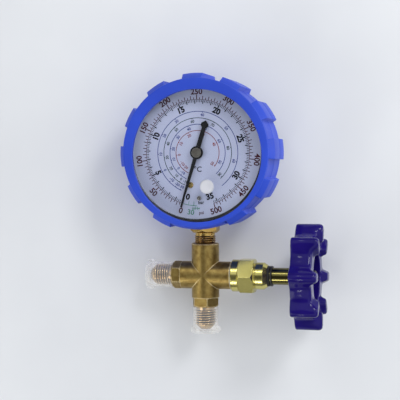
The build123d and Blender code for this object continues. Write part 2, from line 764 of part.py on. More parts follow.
def make_stem():
    """Valve stem: seat end, thread, sealed round shank, and the square that drives the handwheel."""
    shank_start = stem_thread_start() + stem_thread_length
    corners = [
        (0, stem_start), (stem_holder_r, stem_start), (stem_holder_r, stem_start + stem_holder_length - 1),
        (stem_thread_r - 0.9, stem_start + stem_holder_length), (stem_thread_r - 0.9, stem_thread_start()),
        (stem_thread_r, stem_thread_start() + 0.5), (stem_thread_r, shank_start - 0.5),
        (stem_thread_r - 0.5, shank_start), (stem_thread_r - 0.5, shank_start + stem_travel + 1.0),
        (stem_r, shank_start + stem_travel + 1.0),
    ]
    for place in o_ring_places():
        groove_r = o_ring_centre_r() - o_ring_r - fixed_fit
        corners += [
            (stem_r, place - 1.2 * o_ring_r), (groove_r, place - 1.2 * o_ring_r),
            (groove_r, place + 1.2 * o_ring_r), (stem_r, place + 1.2 * o_ring_r),
        ]
    ring_place = snap_ring_place()
    corners += [
        (stem_r, ring_place), (stem_r - snap_ring_groove, ring_place),
        (stem_r - snap_ring_groove, ring_place + snap_ring_width), (stem_r, ring_place + snap_ring_width),
        (stem_r, stem_shoulder), (0, stem_shoulder),
    ]
    square = slab(RectangleRounded(square_width, square_width, 0.6), stem_shoulder - 0.5, square_end)
    seat_hole = tube(seat_disc_boss_r + running_fit, 0, stem_start - 1, stem_start + seat_disc_boss_length + 0.2)
    screw_hole = tube(wheel_screw_r + fixed_fit, 0, square_end - wheel_screw_length - 0.5, square_end + 1)
    return turned(*corners) + square - seat_hole - screw_hole


def snap_ring_place():
    return bonnet_end + dust_washer_width + snap_ring_gap


def o_ring_centre_r():
    return stem_r + running_fit / 2 - o_ring_r


def make_o_rings():
    """Two rubber rings in the shank's grooves."""
    ring = revolve(Plane.XZ * Pos(o_ring_centre_r(), 0) * Circle(o_ring_r), Axis.Z)
    return [Pos(0, 0, place) * ring for place in o_ring_places()]


def make_seat_disc():
    """Soft disc that shuts on the seat; the stem turns on its boss."""
    return turned(
        (0, seat_face), (stem_holder_r - 0.3, seat_face), (stem_holder_r, seat_face + 0.3),
        (stem_holder_r, stem_start), (seat_disc_boss_r, stem_start),
        (seat_disc_boss_r, stem_start + seat_disc_boss_length), (0, stem_start + seat_disc_boss_length),
    )


def make_handwheel():
    """Cast wheel: round core with a recess and hub, and eight proud lobes blended into the core."""
    core = Circle(wheel_core_r)
    for index in range(lobe_count):
        turn = Rot(0, 0, index * 360 / lobe_count)
        core += turn * Pos((wheel_r - lobe_width / 2) / 2, 0) * Rectangle(wheel_r - lobe_width / 2, lobe_width)
        core += turn * Pos(wheel_r - lobe_width / 2, 0) * Circle(lobe_width / 2)
    wheel = slab(core, wheel_back, wheel_back + wheel_core_length)
    inner_corners = wheel.edges().filter_by(Axis.Z).filter_by(
        lambda edge: abs(sqrt(edge.center().X**2 + edge.center().Y**2) - wheel_core_r) < 0.05
    )
    wheel = fillet(inner_corners, lobe_blend)
    lobe_span = wheel_r - lobe_root_r
    lobe_outline = Pos(lobe_root_r + lobe_span / 2, 0) * SlotOverall(lobe_span, lobe_width)
    lobe = slab(lobe_outline, wheel_back, wheel_back + lobe_length)
    lobe = fillet(lobe.faces().sort_by(Axis.Z)[-1].edges(), wheel_edge_round)
    for index in range(lobe_count):
        wheel += Rot(0, 0, index * 360 / lobe_count) * lobe
    wheel = chamfer(wheel.faces().sort_by(Axis.Z)[0].edges(), wheel_back_round)
    floor = wheel_face - recess_depth
    wheel -= turned(
        (0, floor), (recess_r - 1.2, floor), (recess_r, floor + 1.2), (recess_r, wheel_face - 0.4),
        (recess_r + 0.4, wheel_face), (recess_r + 0.4, wheel_face + 5), (0, wheel_face + 5),
    )
    wheel += turned(
        (0, floor - 0.5), (hub_r + 0.6, floor - 0.5), (hub_r, hub_face - 0.5), (hub_r - 0.5, hub_face),
        (0, hub_face),
    )
    width = square_width + 2 * fixed_fit
    wheel -= slab(RectangleRounded(width, width, 0.6), stem_shoulder - 1, hub_face + 1)
    return wheel - tube(stem_r + fixed_fit, 0, wheel_back - 1, stem_shoulder)


def make_wheel_washer():
    """Washer under the handwheel's screw."""
    return tube(wheel_washer_r, wheel_screw_r + 0.2, hub_face, hub_face + wheel_washer_thickness)


def make_wheel_screw():
    """Screw into the stem's end that keeps the handwheel on its square."""
    start = hub_face + wheel_washer_thickness
    screw = turned(
        (0, start - wheel_screw_length), (wheel_screw_r, start - wheel_screw_length), (wheel_screw_r, start),
        (wheel_screw_head_r, start), (wheel_screw_head_r, start + wheel_screw_head_height - 0.8),
        (wheel_screw_head_r - 0.8, start + wheel_screw_head_height), (0, start + wheel_screw_head_height),
    )
    length = 2 * wheel_screw_head_r
    for turn in (0, 90):
        slot = Box(length * 0.55, 0.9, 2.4)
        screw -= Pos(0, 0, start + wheel_screw_head_height) * Rot(0, 0, turn) * slot
    return screw


def build_parts():
    """Every node's solids, in the part's own frame."""
    dial = dial_frame.location
    valve = valve_frame.location
    back_plate = block_front
    plates_screwed = movement_screw_places()
    pillars = pillar_places()
    arbor_hole = arbor_r + running_fit
    sector_hole = sector_arbor_r + running_fit
    snap = snap_ring_place()
    groups = {
        dial: {
            "gauge_boot": make_boot(),
            "gauge_case": make_case(),
            "case_screws": make_case_screws(),
            "lens": make_lens(),
            "lens_gasket": make_lens_gasket(),
            "lens_plug": make_plug(),
            "dial_plate": make_dial_plate(),
            "dial_bracket": make_dial_bracket(),
            "dial_screw": make_dial_screw(),
            "calibration_screw": make_calibration_screw(),
            "pointer": make_pointer(),
            "pointer_hub_cap": make_hub_cap(),
            "pointer_arbor": make_pointer_arbor(),
            "hairspring": make_hairspring(),
            "movement_back_plate": make_movement_plate(
                back_plate, arbor_hole, sector_hole, plates_screwed, movement_screw_r + fixed_fit
            ),
            "movement_front_plate": make_movement_plate(
                front_plate_back, arbor_hole, sector_hole, pillars, pillar_screw_r + fixed_fit
            ),
            "movement_screws": make_movement_screws(),
            "movement_pillars": make_pillars(),
            "pillar_screws": make_pillar_screws(),
            "sector_gear": make_sector_gear(),
            "sector_arbor": make_sector_arbor(),
            "sector_link": make_link(),
            "link_pin": make_link_pin(),
            "bourdon_tube": bourdon_sweep(0, tube_wall),
            "tube_tip": make_tube_tip(),
            "gauge_socket": make_socket(),
            "restrictor_screw": make_restrictor(),
        },
        valve: {
            "bonnet": make_bonnet(),
            "bonnet_seal_washer": tube(arm_r - 0.1, body_thread_r + 0.1, right_reach, collar_start),
            "valve_stem": make_stem(),
            "stem_o_rings": make_o_rings(),
            "seat_disc": make_seat_disc(),
            "dust_washer": tube(
                dust_washer_r, stem_r + loose_fit, bonnet_end, bonnet_end + dust_washer_width
            ),
            "stem_snap_ring": tube(
                snap_ring_r, stem_r - snap_ring_groove + fixed_fit, snap + fixed_fit,
                snap + snap_ring_width - fixed_fit,
            ),
            "handwheel": make_handwheel(),
            "handwheel_washer": make_wheel_washer(),
            "handwheel_screw": make_wheel_screw(),
        },
        left_frame.location: {"left_port_cap": make_cap()},
        lower_frame.location: {"lower_port_cap": make_cap()},
        Location(): {"cross_body": make_cross_body()},
    }
    placed = {}
    for frame, nodes in groups.items():
        for name, shape in nodes.items():
            solids = shape if isinstance(shape, list) else [shape]
            placed[name] = Compound([solid for item in solids for solid in (frame * item).solids()])
    return placed


os.makedirs("parts", exist_ok=True)
for name, shape in build_parts().items():
    export_step(shape, f"parts/{name}.step")
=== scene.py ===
# %% [markdown]
# A refrigerant manifold gauge is a pressure gauge on a forged brass cross with a small shut-off
# valve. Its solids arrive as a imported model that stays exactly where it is. This script dresses
# that model: finer shapes where plain solids are too simple, print on the dial, and a finish
# for every surface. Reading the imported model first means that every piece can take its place
# from it, with nothing to line up by hand.

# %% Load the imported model
import json
import math

import bmesh
import bpy
from mathutils import Matrix, Vector


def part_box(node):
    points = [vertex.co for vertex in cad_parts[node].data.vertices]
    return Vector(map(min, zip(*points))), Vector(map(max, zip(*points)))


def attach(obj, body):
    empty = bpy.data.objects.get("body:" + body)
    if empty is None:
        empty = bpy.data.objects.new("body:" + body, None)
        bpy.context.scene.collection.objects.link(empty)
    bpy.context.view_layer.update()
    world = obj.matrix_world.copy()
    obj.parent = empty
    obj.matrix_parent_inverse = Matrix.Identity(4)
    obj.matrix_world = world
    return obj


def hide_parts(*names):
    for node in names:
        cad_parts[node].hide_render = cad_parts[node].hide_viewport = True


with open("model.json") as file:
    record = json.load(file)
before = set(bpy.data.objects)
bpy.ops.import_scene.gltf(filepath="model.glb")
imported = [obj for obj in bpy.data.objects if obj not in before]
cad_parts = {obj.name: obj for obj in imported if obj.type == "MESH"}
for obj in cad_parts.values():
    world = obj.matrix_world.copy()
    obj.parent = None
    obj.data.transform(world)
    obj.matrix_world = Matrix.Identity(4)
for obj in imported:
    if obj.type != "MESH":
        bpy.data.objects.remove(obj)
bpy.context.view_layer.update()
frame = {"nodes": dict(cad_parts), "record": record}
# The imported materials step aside, so that the finishes below can carry the plain slot names.
for packed_material in bpy.data.materials:
    packed_material.name = "packed_" + packed_material.name

# %% [markdown]
# All lengths below are written in millimetres, as on a drawing, and multiplied by MM where they
# meet Blender, which counts in metres. Four small frames follow the object: out of the dial,
# along the valve, and out of the two ports. Each has its z axis along the part that is turned
# on a lathe in real life, so that one outline spun about z makes that part.

# %% Sizes and frames
MM = 0.001
case_low, case_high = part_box("gauge_case")
bonnet_low, bonnet_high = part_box("bonnet")
GAUGE_Z = (case_low.z + case_high.z) / 2
CROSS_Z = (bonnet_low.z + bonnet_high.z) / 2
CASE_R = case_high.x / MM
LENS_FRONT = -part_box("lens")[0].y / MM
DIAL_FRONT = -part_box("dial_plate")[0].y / MM
BOOT_FRONT = -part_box("gauge_boot")[0].y / MM
BOOT_BACK = -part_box("gauge_boot")[1].y / MM
LEFT_SHOULDER = -17.3
LOWER_SHOULDER = 9.0
UPPER_ARM_END = 42.5
print("gauge centre at", round(GAUGE_Z / MM, 2), "mm")
print("cross centre at", round(CROSS_Z / MM, 2), "mm")


def local_frame(origin, x_axis, z_axis):
    """Matrix that carries a shape made about its own z axis to its place on the object."""
    x = Vector(x_axis)
    z = Vector(z_axis)
    matrix = Matrix((x, z.cross(x), z)).transposed().to_4x4()
    matrix.translation = Vector(origin)
    return matrix


DIAL = local_frame((0, 0, GAUGE_Z), (1, 0, 0), (0, -1, 0))
VALVE = local_frame((0, 0, CROSS_Z), (0, -1, 0), (1, 0, 0))
LEFT_PORT = local_frame((LEFT_SHOULDER * MM, 0, CROSS_Z), (0, -1, 0), (-1, 0, 0))
LOWER_PORT = local_frame((0, 0, LOWER_SHOULDER * MM), (0, -1, 0), (0, 0, -1))
UPRIGHT = local_frame((0, 0, 0), (1, 0, 0), (0, 0, 1))

# %% [markdown]
# Real surfaces are never one even colour. Three effects come back in many finishes here: soft
# clouds with a fine grain, edges painted brighter along their rounding, partly as rubbed wear and
# partly as painted highlight, and the fine rings that a lathe leaves. Each is a node group, built
# once, and every material sets its own amounts. A group only hands out masks, values and normals;
# the shader stays in the material. The other way would be to copy the same nodes into each
# material, which is hard to keep in step.

# %% Helpers for node groups
def new_group(name, inputs, outputs):
    """Empty shader group with float inputs (name, value) and outputs (name, socket type)."""
    group = bpy.data.node_groups.new(name, "ShaderNodeTree")
    for label, value in inputs:
        socket = group.interface.new_socket(label, in_out="INPUT", socket_type="NodeSocketFloat")
        socket.default_value = value
    for label, kind in outputs:
        group.interface.new_socket(label, in_out="OUTPUT", socket_type=kind)
    source = group.nodes.new("NodeGroupInput")
    sink = group.nodes.new("NodeGroupOutput")
    return group, source, sink


def feed(tree, sockets, operands):
    """Give each socket its operand, which is a plain value or another socket."""
    for socket, operand in zip(sockets, operands):
        if isinstance(operand, bpy.types.NodeSocket):
            tree.links.new(operand, socket)
        else:
            socket.default_value = operand


def math_node(tree, operation, *operands):
    """Result of a math node."""
    node = tree.nodes.new("ShaderNodeMath")
    node.operation = operation
    feed(tree, node.inputs, operands)
    return node.outputs[0]


def vector_node(tree, operation, *operands):
    """Result of a vector math node, a number for a dot product or a length."""
    node = tree.nodes.new("ShaderNodeVectorMath")
    node.operation = operation
    feed(tree, node.inputs, operands)
    return node.outputs["Value" if operation in ("DOT_PRODUCT", "LENGTH") else "Vector"]


def ranged(tree, value, *limits):
    """Node that maps a value from one pair of limits to another, 0 and 1 unless given."""
    node = tree.nodes.new("ShaderNodeMapRange")
    feed(tree, node.inputs, (value, *limits))
    return node


def object_place(tree):
    """Place of a shaded point in the object's own frame."""
    return tree.nodes.new("ShaderNodeTexCoord").outputs["Object"]


# %% Clouds and grain
def make_grain_group():
    """Broad clouds and fine grain in object space, each centred on one half."""
    group, source, sink = new_group(
        "clouds_and_grain",
        [("Cloud Scale", 60.0), ("Grain Scale", 2500.0)],
        [("Cloud", "NodeSocketFloat"), ("Grain", "NodeSocketFloat")],
    )
    place = object_place(group)
    for scale, result, detail in (("Cloud Scale", "Cloud", 3.0), ("Grain Scale", "Grain", 2.0)):
        noise = group.nodes.new("ShaderNodeTexNoise")
        noise.inputs["Detail"].default_value = detail
        group.links.new(place, noise.inputs["Vector"])
        group.links.new(source.outputs[scale], noise.inputs["Scale"])
        group.links.new(noise.outputs[0], sink.inputs[result])
    return group


grain_group = make_grain_group()
print("group:", grain_group.name)

# %% Rounded edges, rubbed and with a painted highlight
def make_edge_group():
    """Mask for wear and painted highlight along edges, and a normal that rounds them."""
    group, source, sink = new_group(
        "edge_wear_and_highlight",
        [("Width", 0.0004), ("Gain", 3.0)],
        [("Mask", "NodeSocketFloat"), ("Normal", "NodeSocketVector")],
    )
    rounded = group.nodes.new("ShaderNodeBevel")
    rounded.samples = 4
    surface = group.nodes.new("ShaderNodeNewGeometry")
    group.links.new(source.outputs["Width"], rounded.inputs["Radius"])
    kept = vector_node(group, "DOT_PRODUCT", rounded.outputs["Normal"], surface.outputs["Normal"])
    turned_away = math_node(group, "SUBTRACT", 1.0, kept)
    strength = math_node(group, "MULTIPLY", turned_away, source.outputs["Gain"])
    mask = group.nodes.new("ShaderNodeClamp")
    group.links.new(strength, mask.inputs[0])
    group.links.new(mask.outputs[0], sink.inputs["Mask"])
    group.links.new(rounded.outputs["Normal"], sink.inputs["Normal"])
    return group


edge_wear_and_highlight_group = make_edge_group()
print("group:", edge_wear_and_highlight_group.name)

# %% Rings left by the lathe
def make_ring_group():
    """Uneven fine rings across the direction given by Along X, Along Y and Along Z."""
    group, source, sink = new_group(
        "lathe_rings",
        [("Along X", 1.0), ("Along Y", 0.0), ("Along Z", 0.0), ("Scale", 4000.0)],
        [("Rings", "NodeSocketFloat")],
    )
    direction = group.nodes.new("ShaderNodeCombineXYZ")
    for axis in "XYZ":
        group.links.new(source.outputs["Along " + axis], direction.inputs[axis])
    along = vector_node(group, "DOT_PRODUCT", object_place(group), direction.outputs[0])
    rings = group.nodes.new("ShaderNodeTexNoise")
    rings.noise_dimensions = "1D"
    rings.inputs["Detail"].default_value = 2.0
    group.links.new(along, rings.inputs["W"])
    group.links.new(source.outputs["Scale"], rings.inputs["Scale"])
    group.links.new(rings.outputs[0], sink.inputs["Rings"])
    return group


ring_group = make_ring_group()
print("group:", ring_group.name)

# %% [markdown]
# One recipe then covers every solid finish: a colour that drifts into a second one in clouds, a
# lighter colour along the edges, partly rubbed wear and partly painted highlight, a roughness that
# varies with the grain, and a bump from grain or rings. Metals, paint, rubber and plastic differ
# only in the numbers. A separate recipe for each would give more freedom, but here it would only
# repeat itself.

# %% The recipe for a solid finish
def place_group(material, group, **values):
    """Group node in a material, with some of its inputs set."""
    node = material.node_tree.nodes.new("ShaderNodeGroup")
    node.node_tree = group
    for label, value in values.items():
        node.inputs[label.replace("_", " ")].default_value = value
    return node


def mixed_colour(tree, factor, first, second):
    """Mix of two colours or sockets by a mask."""
    mix = tree.nodes.new("ShaderNodeMix")
    mix.data_type = "RGBA"
    tree.links.new(factor, mix.inputs[0])
    colours = [(*colour, 1) if isinstance(colour, tuple) else colour for colour in (first, second)]
    feed(tree, mix.inputs[6:8], colours)
    return mix.outputs[2]


def new_material(name):
    """Empty material with its node tree and its shader."""
    material = bpy.data.materials.new(name)
    material.use_nodes = True
    return material, material.node_tree, material.node_tree.nodes["Principled BSDF"]


FINISHES = {}
RING_SHARE = 0.8


def make_finish(name, colour, drift, edge, metallic=0.0, roughness=0.5, spread=0.15, cloud=60.0,
                grain=2500.0, bump=0.2, height=0.00005, rings=None, edge_width=0.0004, edge_gain=3.0,
                contrast=3.0, specular=0.5):
    """Add a finish drifting to drift in clouds and to edge along edges, as wear and painted highlight.
    """
    material, tree, shader = new_material(name)
    shader.inputs["Metallic"].default_value = metallic
    shader.inputs["Specular IOR Level"].default_value = specular
    patches = place_group(material, grain_group, Cloud_Scale=cloud, Grain_Scale=grain)
    edges = place_group(material, edge_wear_and_highlight_group, Width=edge_width, Gain=edge_gain)
    half = 0.5 / contrast
    sharper = ranged(tree, patches.outputs["Cloud"], 0.5 - half, 0.5 + half)
    body = mixed_colour(tree, sharper.outputs[0], colour, drift)
    # The edge colour is partly rubbed wear and partly painted highlight.
    worn_and_highlit = mixed_colour(tree, edges.outputs["Mask"], body, edge)
    tree.links.new(worn_and_highlit, shader.inputs["Base Color"])
    centred = math_node(tree, "SUBTRACT", patches.outputs["Grain"], 0.5)
    uneven = math_node(tree, "MULTIPLY", centred, spread * 2)
    tree.links.new(math_node(tree, "ADD", uneven, roughness), shader.inputs["Roughness"])
    relief = patches.outputs["Grain"]
    if rings:
        x, y, z, scale = rings
        lines = place_group(material, ring_group, Along_X=x, Along_Y=y, Along_Z=z, Scale=scale)
        ringed = math_node(tree, "MULTIPLY", lines.outputs["Rings"], RING_SHARE)
        relief = math_node(tree, "ADD", math_node(tree, "MULTIPLY", relief, 1 - RING_SHARE), ringed)
    bumps = tree.nodes.new("ShaderNodeBump")
    bumps.inputs["Strength"].default_value = bump
    bumps.inputs["Distance"].default_value = height
    tree.links.new(relief, bumps.inputs["Height"])
    tree.links.new(edges.outputs["Normal"], bumps.inputs["Normal"])
    tree.links.new(bumps.outputs["Normal"], shader.inputs["Normal"])
    FINISHES[name] = material
    return material


def make_metal(name, colour, drift, edge, **amounts):
    """Add a finish with the amounts that most metals here share."""
    shared = {"metallic": 1.0, "bump": 0.2, "height": 0.00003}
    return make_finish(name, colour, drift, edge, **{**shared, **amounts})


# %% [markdown]
# The brasses differ by how they were made. The cross is forged and blasted with sand, so it is
# dull, with seams where the arms meet painted bright, partly as rubbed wear and partly as painted
# highlight. The bonnet and stem are turned bright, with a greenish yellow; the stem's colour is
# painted far darker, as painted shade and painted reflection of the dark wheel and bonnet around
# it. The socket is turned too but has tarnished to gold, and the thread below its hex to brown.
# Inside the gauge the plates are stamped sheet.

# %% Brass
RING_ON_X = (1.0, 0.0, 0.0, 3000.0)
RING_ON_Z = (0.0, 0.0, 1.0, 3000.0)
# Its high edge gain paints seams and edges bright, as rubbed wear and painted highlight.
make_metal(
    "forged_brass", (0.37, 0.265, 0.085), (0.22, 0.14, 0.04), (0.90, 0.74, 0.42), roughness=0.38,
    spread=0.25, cloud=420.0, grain=2200.0, bump=0.8, height=0.00008, edge_width=0.0006,
    edge_gain=12.0, contrast=2.5,
)
make_metal(
    "thread_brass", (0.55, 0.39, 0.21), (0.42, 0.28, 0.14), (1.0, 0.88, 0.68), roughness=0.2,
    spread=0.1, cloud=200.0, edge_width=0.0002,
)
make_metal(
    "bonnet_brass", (0.66, 0.59, 0.20), (0.52, 0.46, 0.14), (0.90, 0.84, 0.48), roughness=0.2,
    spread=0.12, rings=RING_ON_X, bump=0.35, edge_width=0.0002,
)
# The stem's near-black colour is painted shade and painted reflection of the dark wheel and bonnet.
make_metal(
    "stem_brass", (0.16, 0.14, 0.045), (0.11, 0.095, 0.03), (0.3, 0.27, 0.12), roughness=0.14,
    spread=0.1, rings=RING_ON_X, bump=0.25,
)
make_metal(
    "socket_brass", (0.62, 0.42, 0.13), (0.46, 0.29, 0.08), (0.85, 0.66, 0.32), roughness=0.24,
    spread=0.12, rings=RING_ON_Z, bump=0.25,
)
make_metal(
    "neck_brass", (0.52, 0.30, 0.08), (0.38, 0.20, 0.04), (1.0, 0.80, 0.40), roughness=0.2,
    spread=0.1, edge_width=0.00022, edge_gain=7.0,
)
make_metal(
    "movement_brass", (0.66, 0.52, 0.24), (0.56, 0.42, 0.17), (0.85, 0.74, 0.46), roughness=0.3,
)
make_metal(
    "screw_brass", (0.60, 0.44, 0.15), (0.45, 0.31, 0.09), (0.85, 0.70, 0.40), roughness=0.28,
    edge_width=0.00015, height=0.00002,
)
make_metal(
    "tube_bronze", (0.52, 0.33, 0.18), (0.42, 0.25, 0.12), (0.75, 0.55, 0.36), roughness=0.3,
)
print("brass finishes:", len(FINISHES))

# %% [markdown]
# Steel, nickel and black oxide use the same recipe with grey numbers. The pointer is matt
# black, so that it never mirrors the room, and it is far darker than the black rubber gasket
# because it has to stand out from every mark on the dial.

# %% Steel, nickel and black parts
make_metal(
    "steel", (0.50, 0.50, 0.52), (0.40, 0.40, 0.42), (0.75, 0.75, 0.76), roughness=0.3,
    edge_width=0.0002,
)
make_metal(
    "screw_nickel", (0.62, 0.61, 0.56), (0.48, 0.47, 0.42), (0.85, 0.84, 0.80), roughness=0.22,
    edge_width=0.00015, height=0.00002,
)
make_metal(
    "hub_steel", (0.22, 0.21, 0.18), (0.15, 0.14, 0.12), (0.55, 0.55, 0.50), roughness=0.36, spread=0.2,
    cloud=400.0, edge_width=0.0002, bump=0.3,
)
make_finish(
    "pointer_black", (0.004, 0.004, 0.005), (0.007, 0.007, 0.008), (0.02, 0.02, 0.022),
    roughness=0.5, edge_width=0.0001, bump=0.15, height=0.00002, specular=0.15,
)
make_metal(
    "black_steel", (0.03, 0.03, 0.033), (0.05, 0.047, 0.04), (0.14, 0.13, 0.12), metallic=0.6,
    roughness=0.4, edge_width=0.0002,
)
make_finish(
    "case_black", (0.02, 0.02, 0.024), (0.03, 0.03, 0.034), (0.1, 0.1, 0.1),
    roughness=0.45, bump=0.2, height=0.00004,
)
make_finish(
    "gasket_black", (0.012, 0.012, 0.013), (0.02, 0.02, 0.021), (0.03, 0.03, 0.03),
    roughness=0.7, edge_width=0.0001, bump=0.3, height=0.00004,
)
print("finishes with steel and black:", len(FINISHES))

# %% [markdown]
# The boot is moulded rubber: a saturated blue with a faint bloom, and its edges are painted
# paler, partly as worn bloom and partly as painted highlight. The handwheel is cast and dipped in
# a deep violet-blue enamel, so it is nearly smooth, with slow waves where the enamel ran. The dial
# is printed on pale paint; its colour here is darkened to a lavender grey as painted shade, for
# the shade it lies in behind the lens and the boot's lip.

# %% Rubber, enamel, paint and plastic
# The paler edge colour is partly worn bloom and partly painted highlight.
make_finish(
    "boot_blue", (0.026, 0.075, 0.60), (0.022, 0.062, 0.52), (0.10, 0.19, 0.82),
    roughness=0.5, spread=0.1, cloud=45.0, grain=1800.0, bump=0.25, height=0.00006,
    edge_width=0.0005, edge_gain=1.8, specular=0.25,
)
make_finish(
    "wheel_blue", (0.008, 0.0032, 0.112), (0.015, 0.007, 0.15), (0.02, 0.01, 0.17),
    roughness=0.1, spread=0.04, cloud=70.0, grain=450.0, bump=0.1, height=0.0001, edge_width=0.0003,
    edge_gain=0.3, specular=0.2,
)
# The dial's lavender grey is darkened as painted shade for the recess behind the lens.
make_finish(
    "dial_white", (0.425, 0.46, 0.61), (0.39, 0.425, 0.575), (0.445, 0.475, 0.61),
    roughness=0.55, spread=0.1, cloud=25.0, grain=3000.0, bump=0.05, height=0.00002,
    edge_width=0.0001, specular=0.15,
)
make_finish(
    "plug_white", (0.66, 0.665, 0.72), (0.60, 0.605, 0.66), (0.74, 0.74, 0.78),
    roughness=0.4, cloud=150.0, bump=0.1, height=0.00003, edge_width=0.0002,
)
make_finish(
    "seal_white", (0.78, 0.78, 0.74), (0.70, 0.70, 0.66), (0.84, 0.84, 0.8),
    roughness=0.45, bump=0.1, height=0.00003, edge_width=0.0001,
)
print("finishes with rubber, enamel, paint and plastic:", len(FINISHES))

# %% [markdown]
# Clear pieces need light to reach what is behind them. The lens is true glass for the camera,
# and lets the lamps' rays straight through, because bent rays would leave the dial black with
# so few samples. The caps are milky soft plastic: each wall is a thin veil whose strength comes
# from the material's alpha, which costs far less than scattering light inside the plastic.

# %% The lens
LENS_HAZE = 0.004


def shadow_ray(tree):
    """One for the rays that look for lamps, zero for all others."""
    return tree.nodes.new("ShaderNodeLightPath").outputs["Is Shadow Ray"]


def clear_where(tree, shader, factor):
    """Mix a surface with a clear one, wherever the factor is one."""
    clear = tree.nodes.new("ShaderNodeBsdfTransparent")
    choice = tree.nodes.new("ShaderNodeMixShader")
    feed(tree, choice.inputs, (factor, shader.outputs[0], clear.outputs[0]))
    tree.links.new(choice.outputs[0], tree.nodes["Material Output"].inputs[0])


def make_lens_material():
    """Clear plastic that bends what is seen and lets lamps through."""
    material, tree, shader = new_material("clear_lens")
    shader.inputs["Transmission Weight"].default_value = 1.0
    shader.inputs["IOR"].default_value = 1.45
    shader.inputs["Specular IOR Level"].default_value = 0.3
    shader.inputs["Base Color"].default_value = (0.98, 0.985, 1.0, 1)
    haze = place_group(material, grain_group, Cloud_Scale=80.0, Grain_Scale=1200.0)
    blur = math_node(tree, "MULTIPLY", haze.outputs["Cloud"], LENS_HAZE)
    tree.links.new(blur, shader.inputs["Roughness"])
    clear_where(tree, shader, shadow_ray(tree))
    return material


FINISHES["clear_lens"] = make_lens_material()
print("material:", FINISHES["clear_lens"].name)

# %% The milky caps
VEIL_EVERYWHERE = 0.04
VEIL_IN_CLOUDS = 0.05
VEIL_EDGE_ON = 0.5


def make_cap_material():
    """Milky veil, denser in clouds and where the wall is seen edge on."""
    material, tree, shader = new_material("cap_clear")
    clouds = place_group(material, grain_group, Cloud_Scale=220.0, Grain_Scale=700.0)
    milk = mixed_colour(tree, clouds.outputs["Cloud"], (0.90, 0.89, 0.86), (0.97, 0.97, 0.96))
    tree.links.new(milk, shader.inputs["Base Color"])
    gloss = math_node(tree, "MULTIPLY", clouds.outputs["Grain"], 0.2)
    tree.links.new(math_node(tree, "ADD", gloss, 0.12), shader.inputs["Roughness"])
    grazing = tree.nodes.new("ShaderNodeLayerWeight")
    grazing.inputs["Blend"].default_value = 0.3
    cloudy = math_node(tree, "MULTIPLY", clouds.outputs["Cloud"], VEIL_IN_CLOUDS)
    edge_on = math_node(tree, "MULTIPLY", grazing.outputs["Facing"], VEIL_EDGE_ON)
    veil = math_node(tree, "ADD", cloudy, edge_on)
    tree.links.new(math_node(tree, "ADD", veil, VEIL_EVERYWHERE), shader.inputs["Alpha"])
    clear_where(tree, shader, shadow_ray(tree))
    return material


FINISHES["cap_clear"] = make_cap_material()
print("material:", FINISHES["cap_clear"].name)

# %% [markdown]
# Most imported solids already have the right shape, so they only get their finish. Each material
# is named as its slot in the part's record, and a loop hands them out. The wheel's screw and
# washer are the exception: they are steel in the record, and painted black here as painted shade
# for the dark recess of the wheel that they sit in.

# %% Dress the imported solids
# The wheel's screw and washer take black steel as painted shade in their recess.
STEEL_IN_PAINTED_SHADE = ("handwheel_screw", "handwheel_washer")
SLOTS = set()
for subpart in frame["record"]["subparts"]:
    SLOTS.add(subpart["material_slot"])
    finish = "black_steel" if subpart["node"] in STEEL_IN_PAINTED_SHADE else subpart["material_slot"]
    for entry in frame["nodes"][subpart["node"]].material_slots:
        entry.material = FINISHES[finish]

# %% [markdown]
# New pieces are made with mesh operators. Two helpers carry most of the work: one spins an
# outline about z as a lathe would, and one turns the finished mesh into an object that rides on
# a body. Merging doubles first closes the seam and the poles of the spin, and only then are the
# normals recalculated, so that every face points outwards.

# %% Helpers for new pieces
SAME_PLACE = 0.002 * MM


def spin_outline(bm, outline, steps, pitch=0.0, closed=True):
    """Spin (radius, height) corners about z; a pitch makes the spin climb as a screw does."""
    corners = [bm.verts.new((radius * MM, 0, height * MM)) for radius, height in outline]
    ends = corners[1:] + corners[:1] if closed else corners[1:]
    edges = [bm.edges.new(pair) for pair in zip(corners, ends)]
    bmesh.ops.spin(
        bm, geom=corners + edges, cent=(0, 0, 0), axis=(0, 0, 1), dvec=(0, 0, pitch * MM / steps),
        angle=2 * math.pi, steps=steps, use_merge=not pitch,
    )


def merge_and_orient(bm):
    """Close seams and poles, then turn every face outwards."""
    bmesh.ops.remove_doubles(bm, verts=bm.verts[:], dist=SAME_PLACE)
    bmesh.ops.recalc_face_normals(bm, faces=bm.faces[:])


def placed_object(name, data):
    """Object in the scene, at the origin."""
    thing = bpy.data.objects.new(name, data)
    bpy.context.scene.collection.objects.link(thing)
    return thing


def make_piece(bm, name, body, finish, place=UPRIGHT, replaced=(), sharp=35.0):
    """Object from a bmesh in its local frame, riding on a body and dressed in a finish."""
    bm.transform(place)
    mesh = bpy.data.meshes.new(name)
    bm.to_mesh(mesh)
    bm.free()
    mesh.shade_smooth()
    mesh.set_sharp_from_angle(angle=math.radians(sharp))
    mesh.materials.append(FINISHES[finish])
    piece = placed_object(name, mesh)
    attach(piece, body)
    if replaced:
        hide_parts(*replaced)
    print("piece:", name, "faces:", len(mesh.polygons))
    return piece


# %% [markdown]
# The cross body is a forging with a threaded port at its left and lower ends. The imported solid
# has the threads as plain cylinders. A copy of it is cut off just past each hex shoulder, and
# real screw threads take their place. A thread could be a texture, but its crests catch the
# light one by one through the clear caps, so it is worth making.

# %% The forging, cut at its port shoulders
def copied_solid(node):
    """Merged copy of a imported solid's mesh."""
    bm = bmesh.new()
    bm.from_mesh(frame["nodes"][node].data)
    bmesh.ops.remove_doubles(bm, verts=bm.verts[:], dist=SAME_PLACE)
    return bm


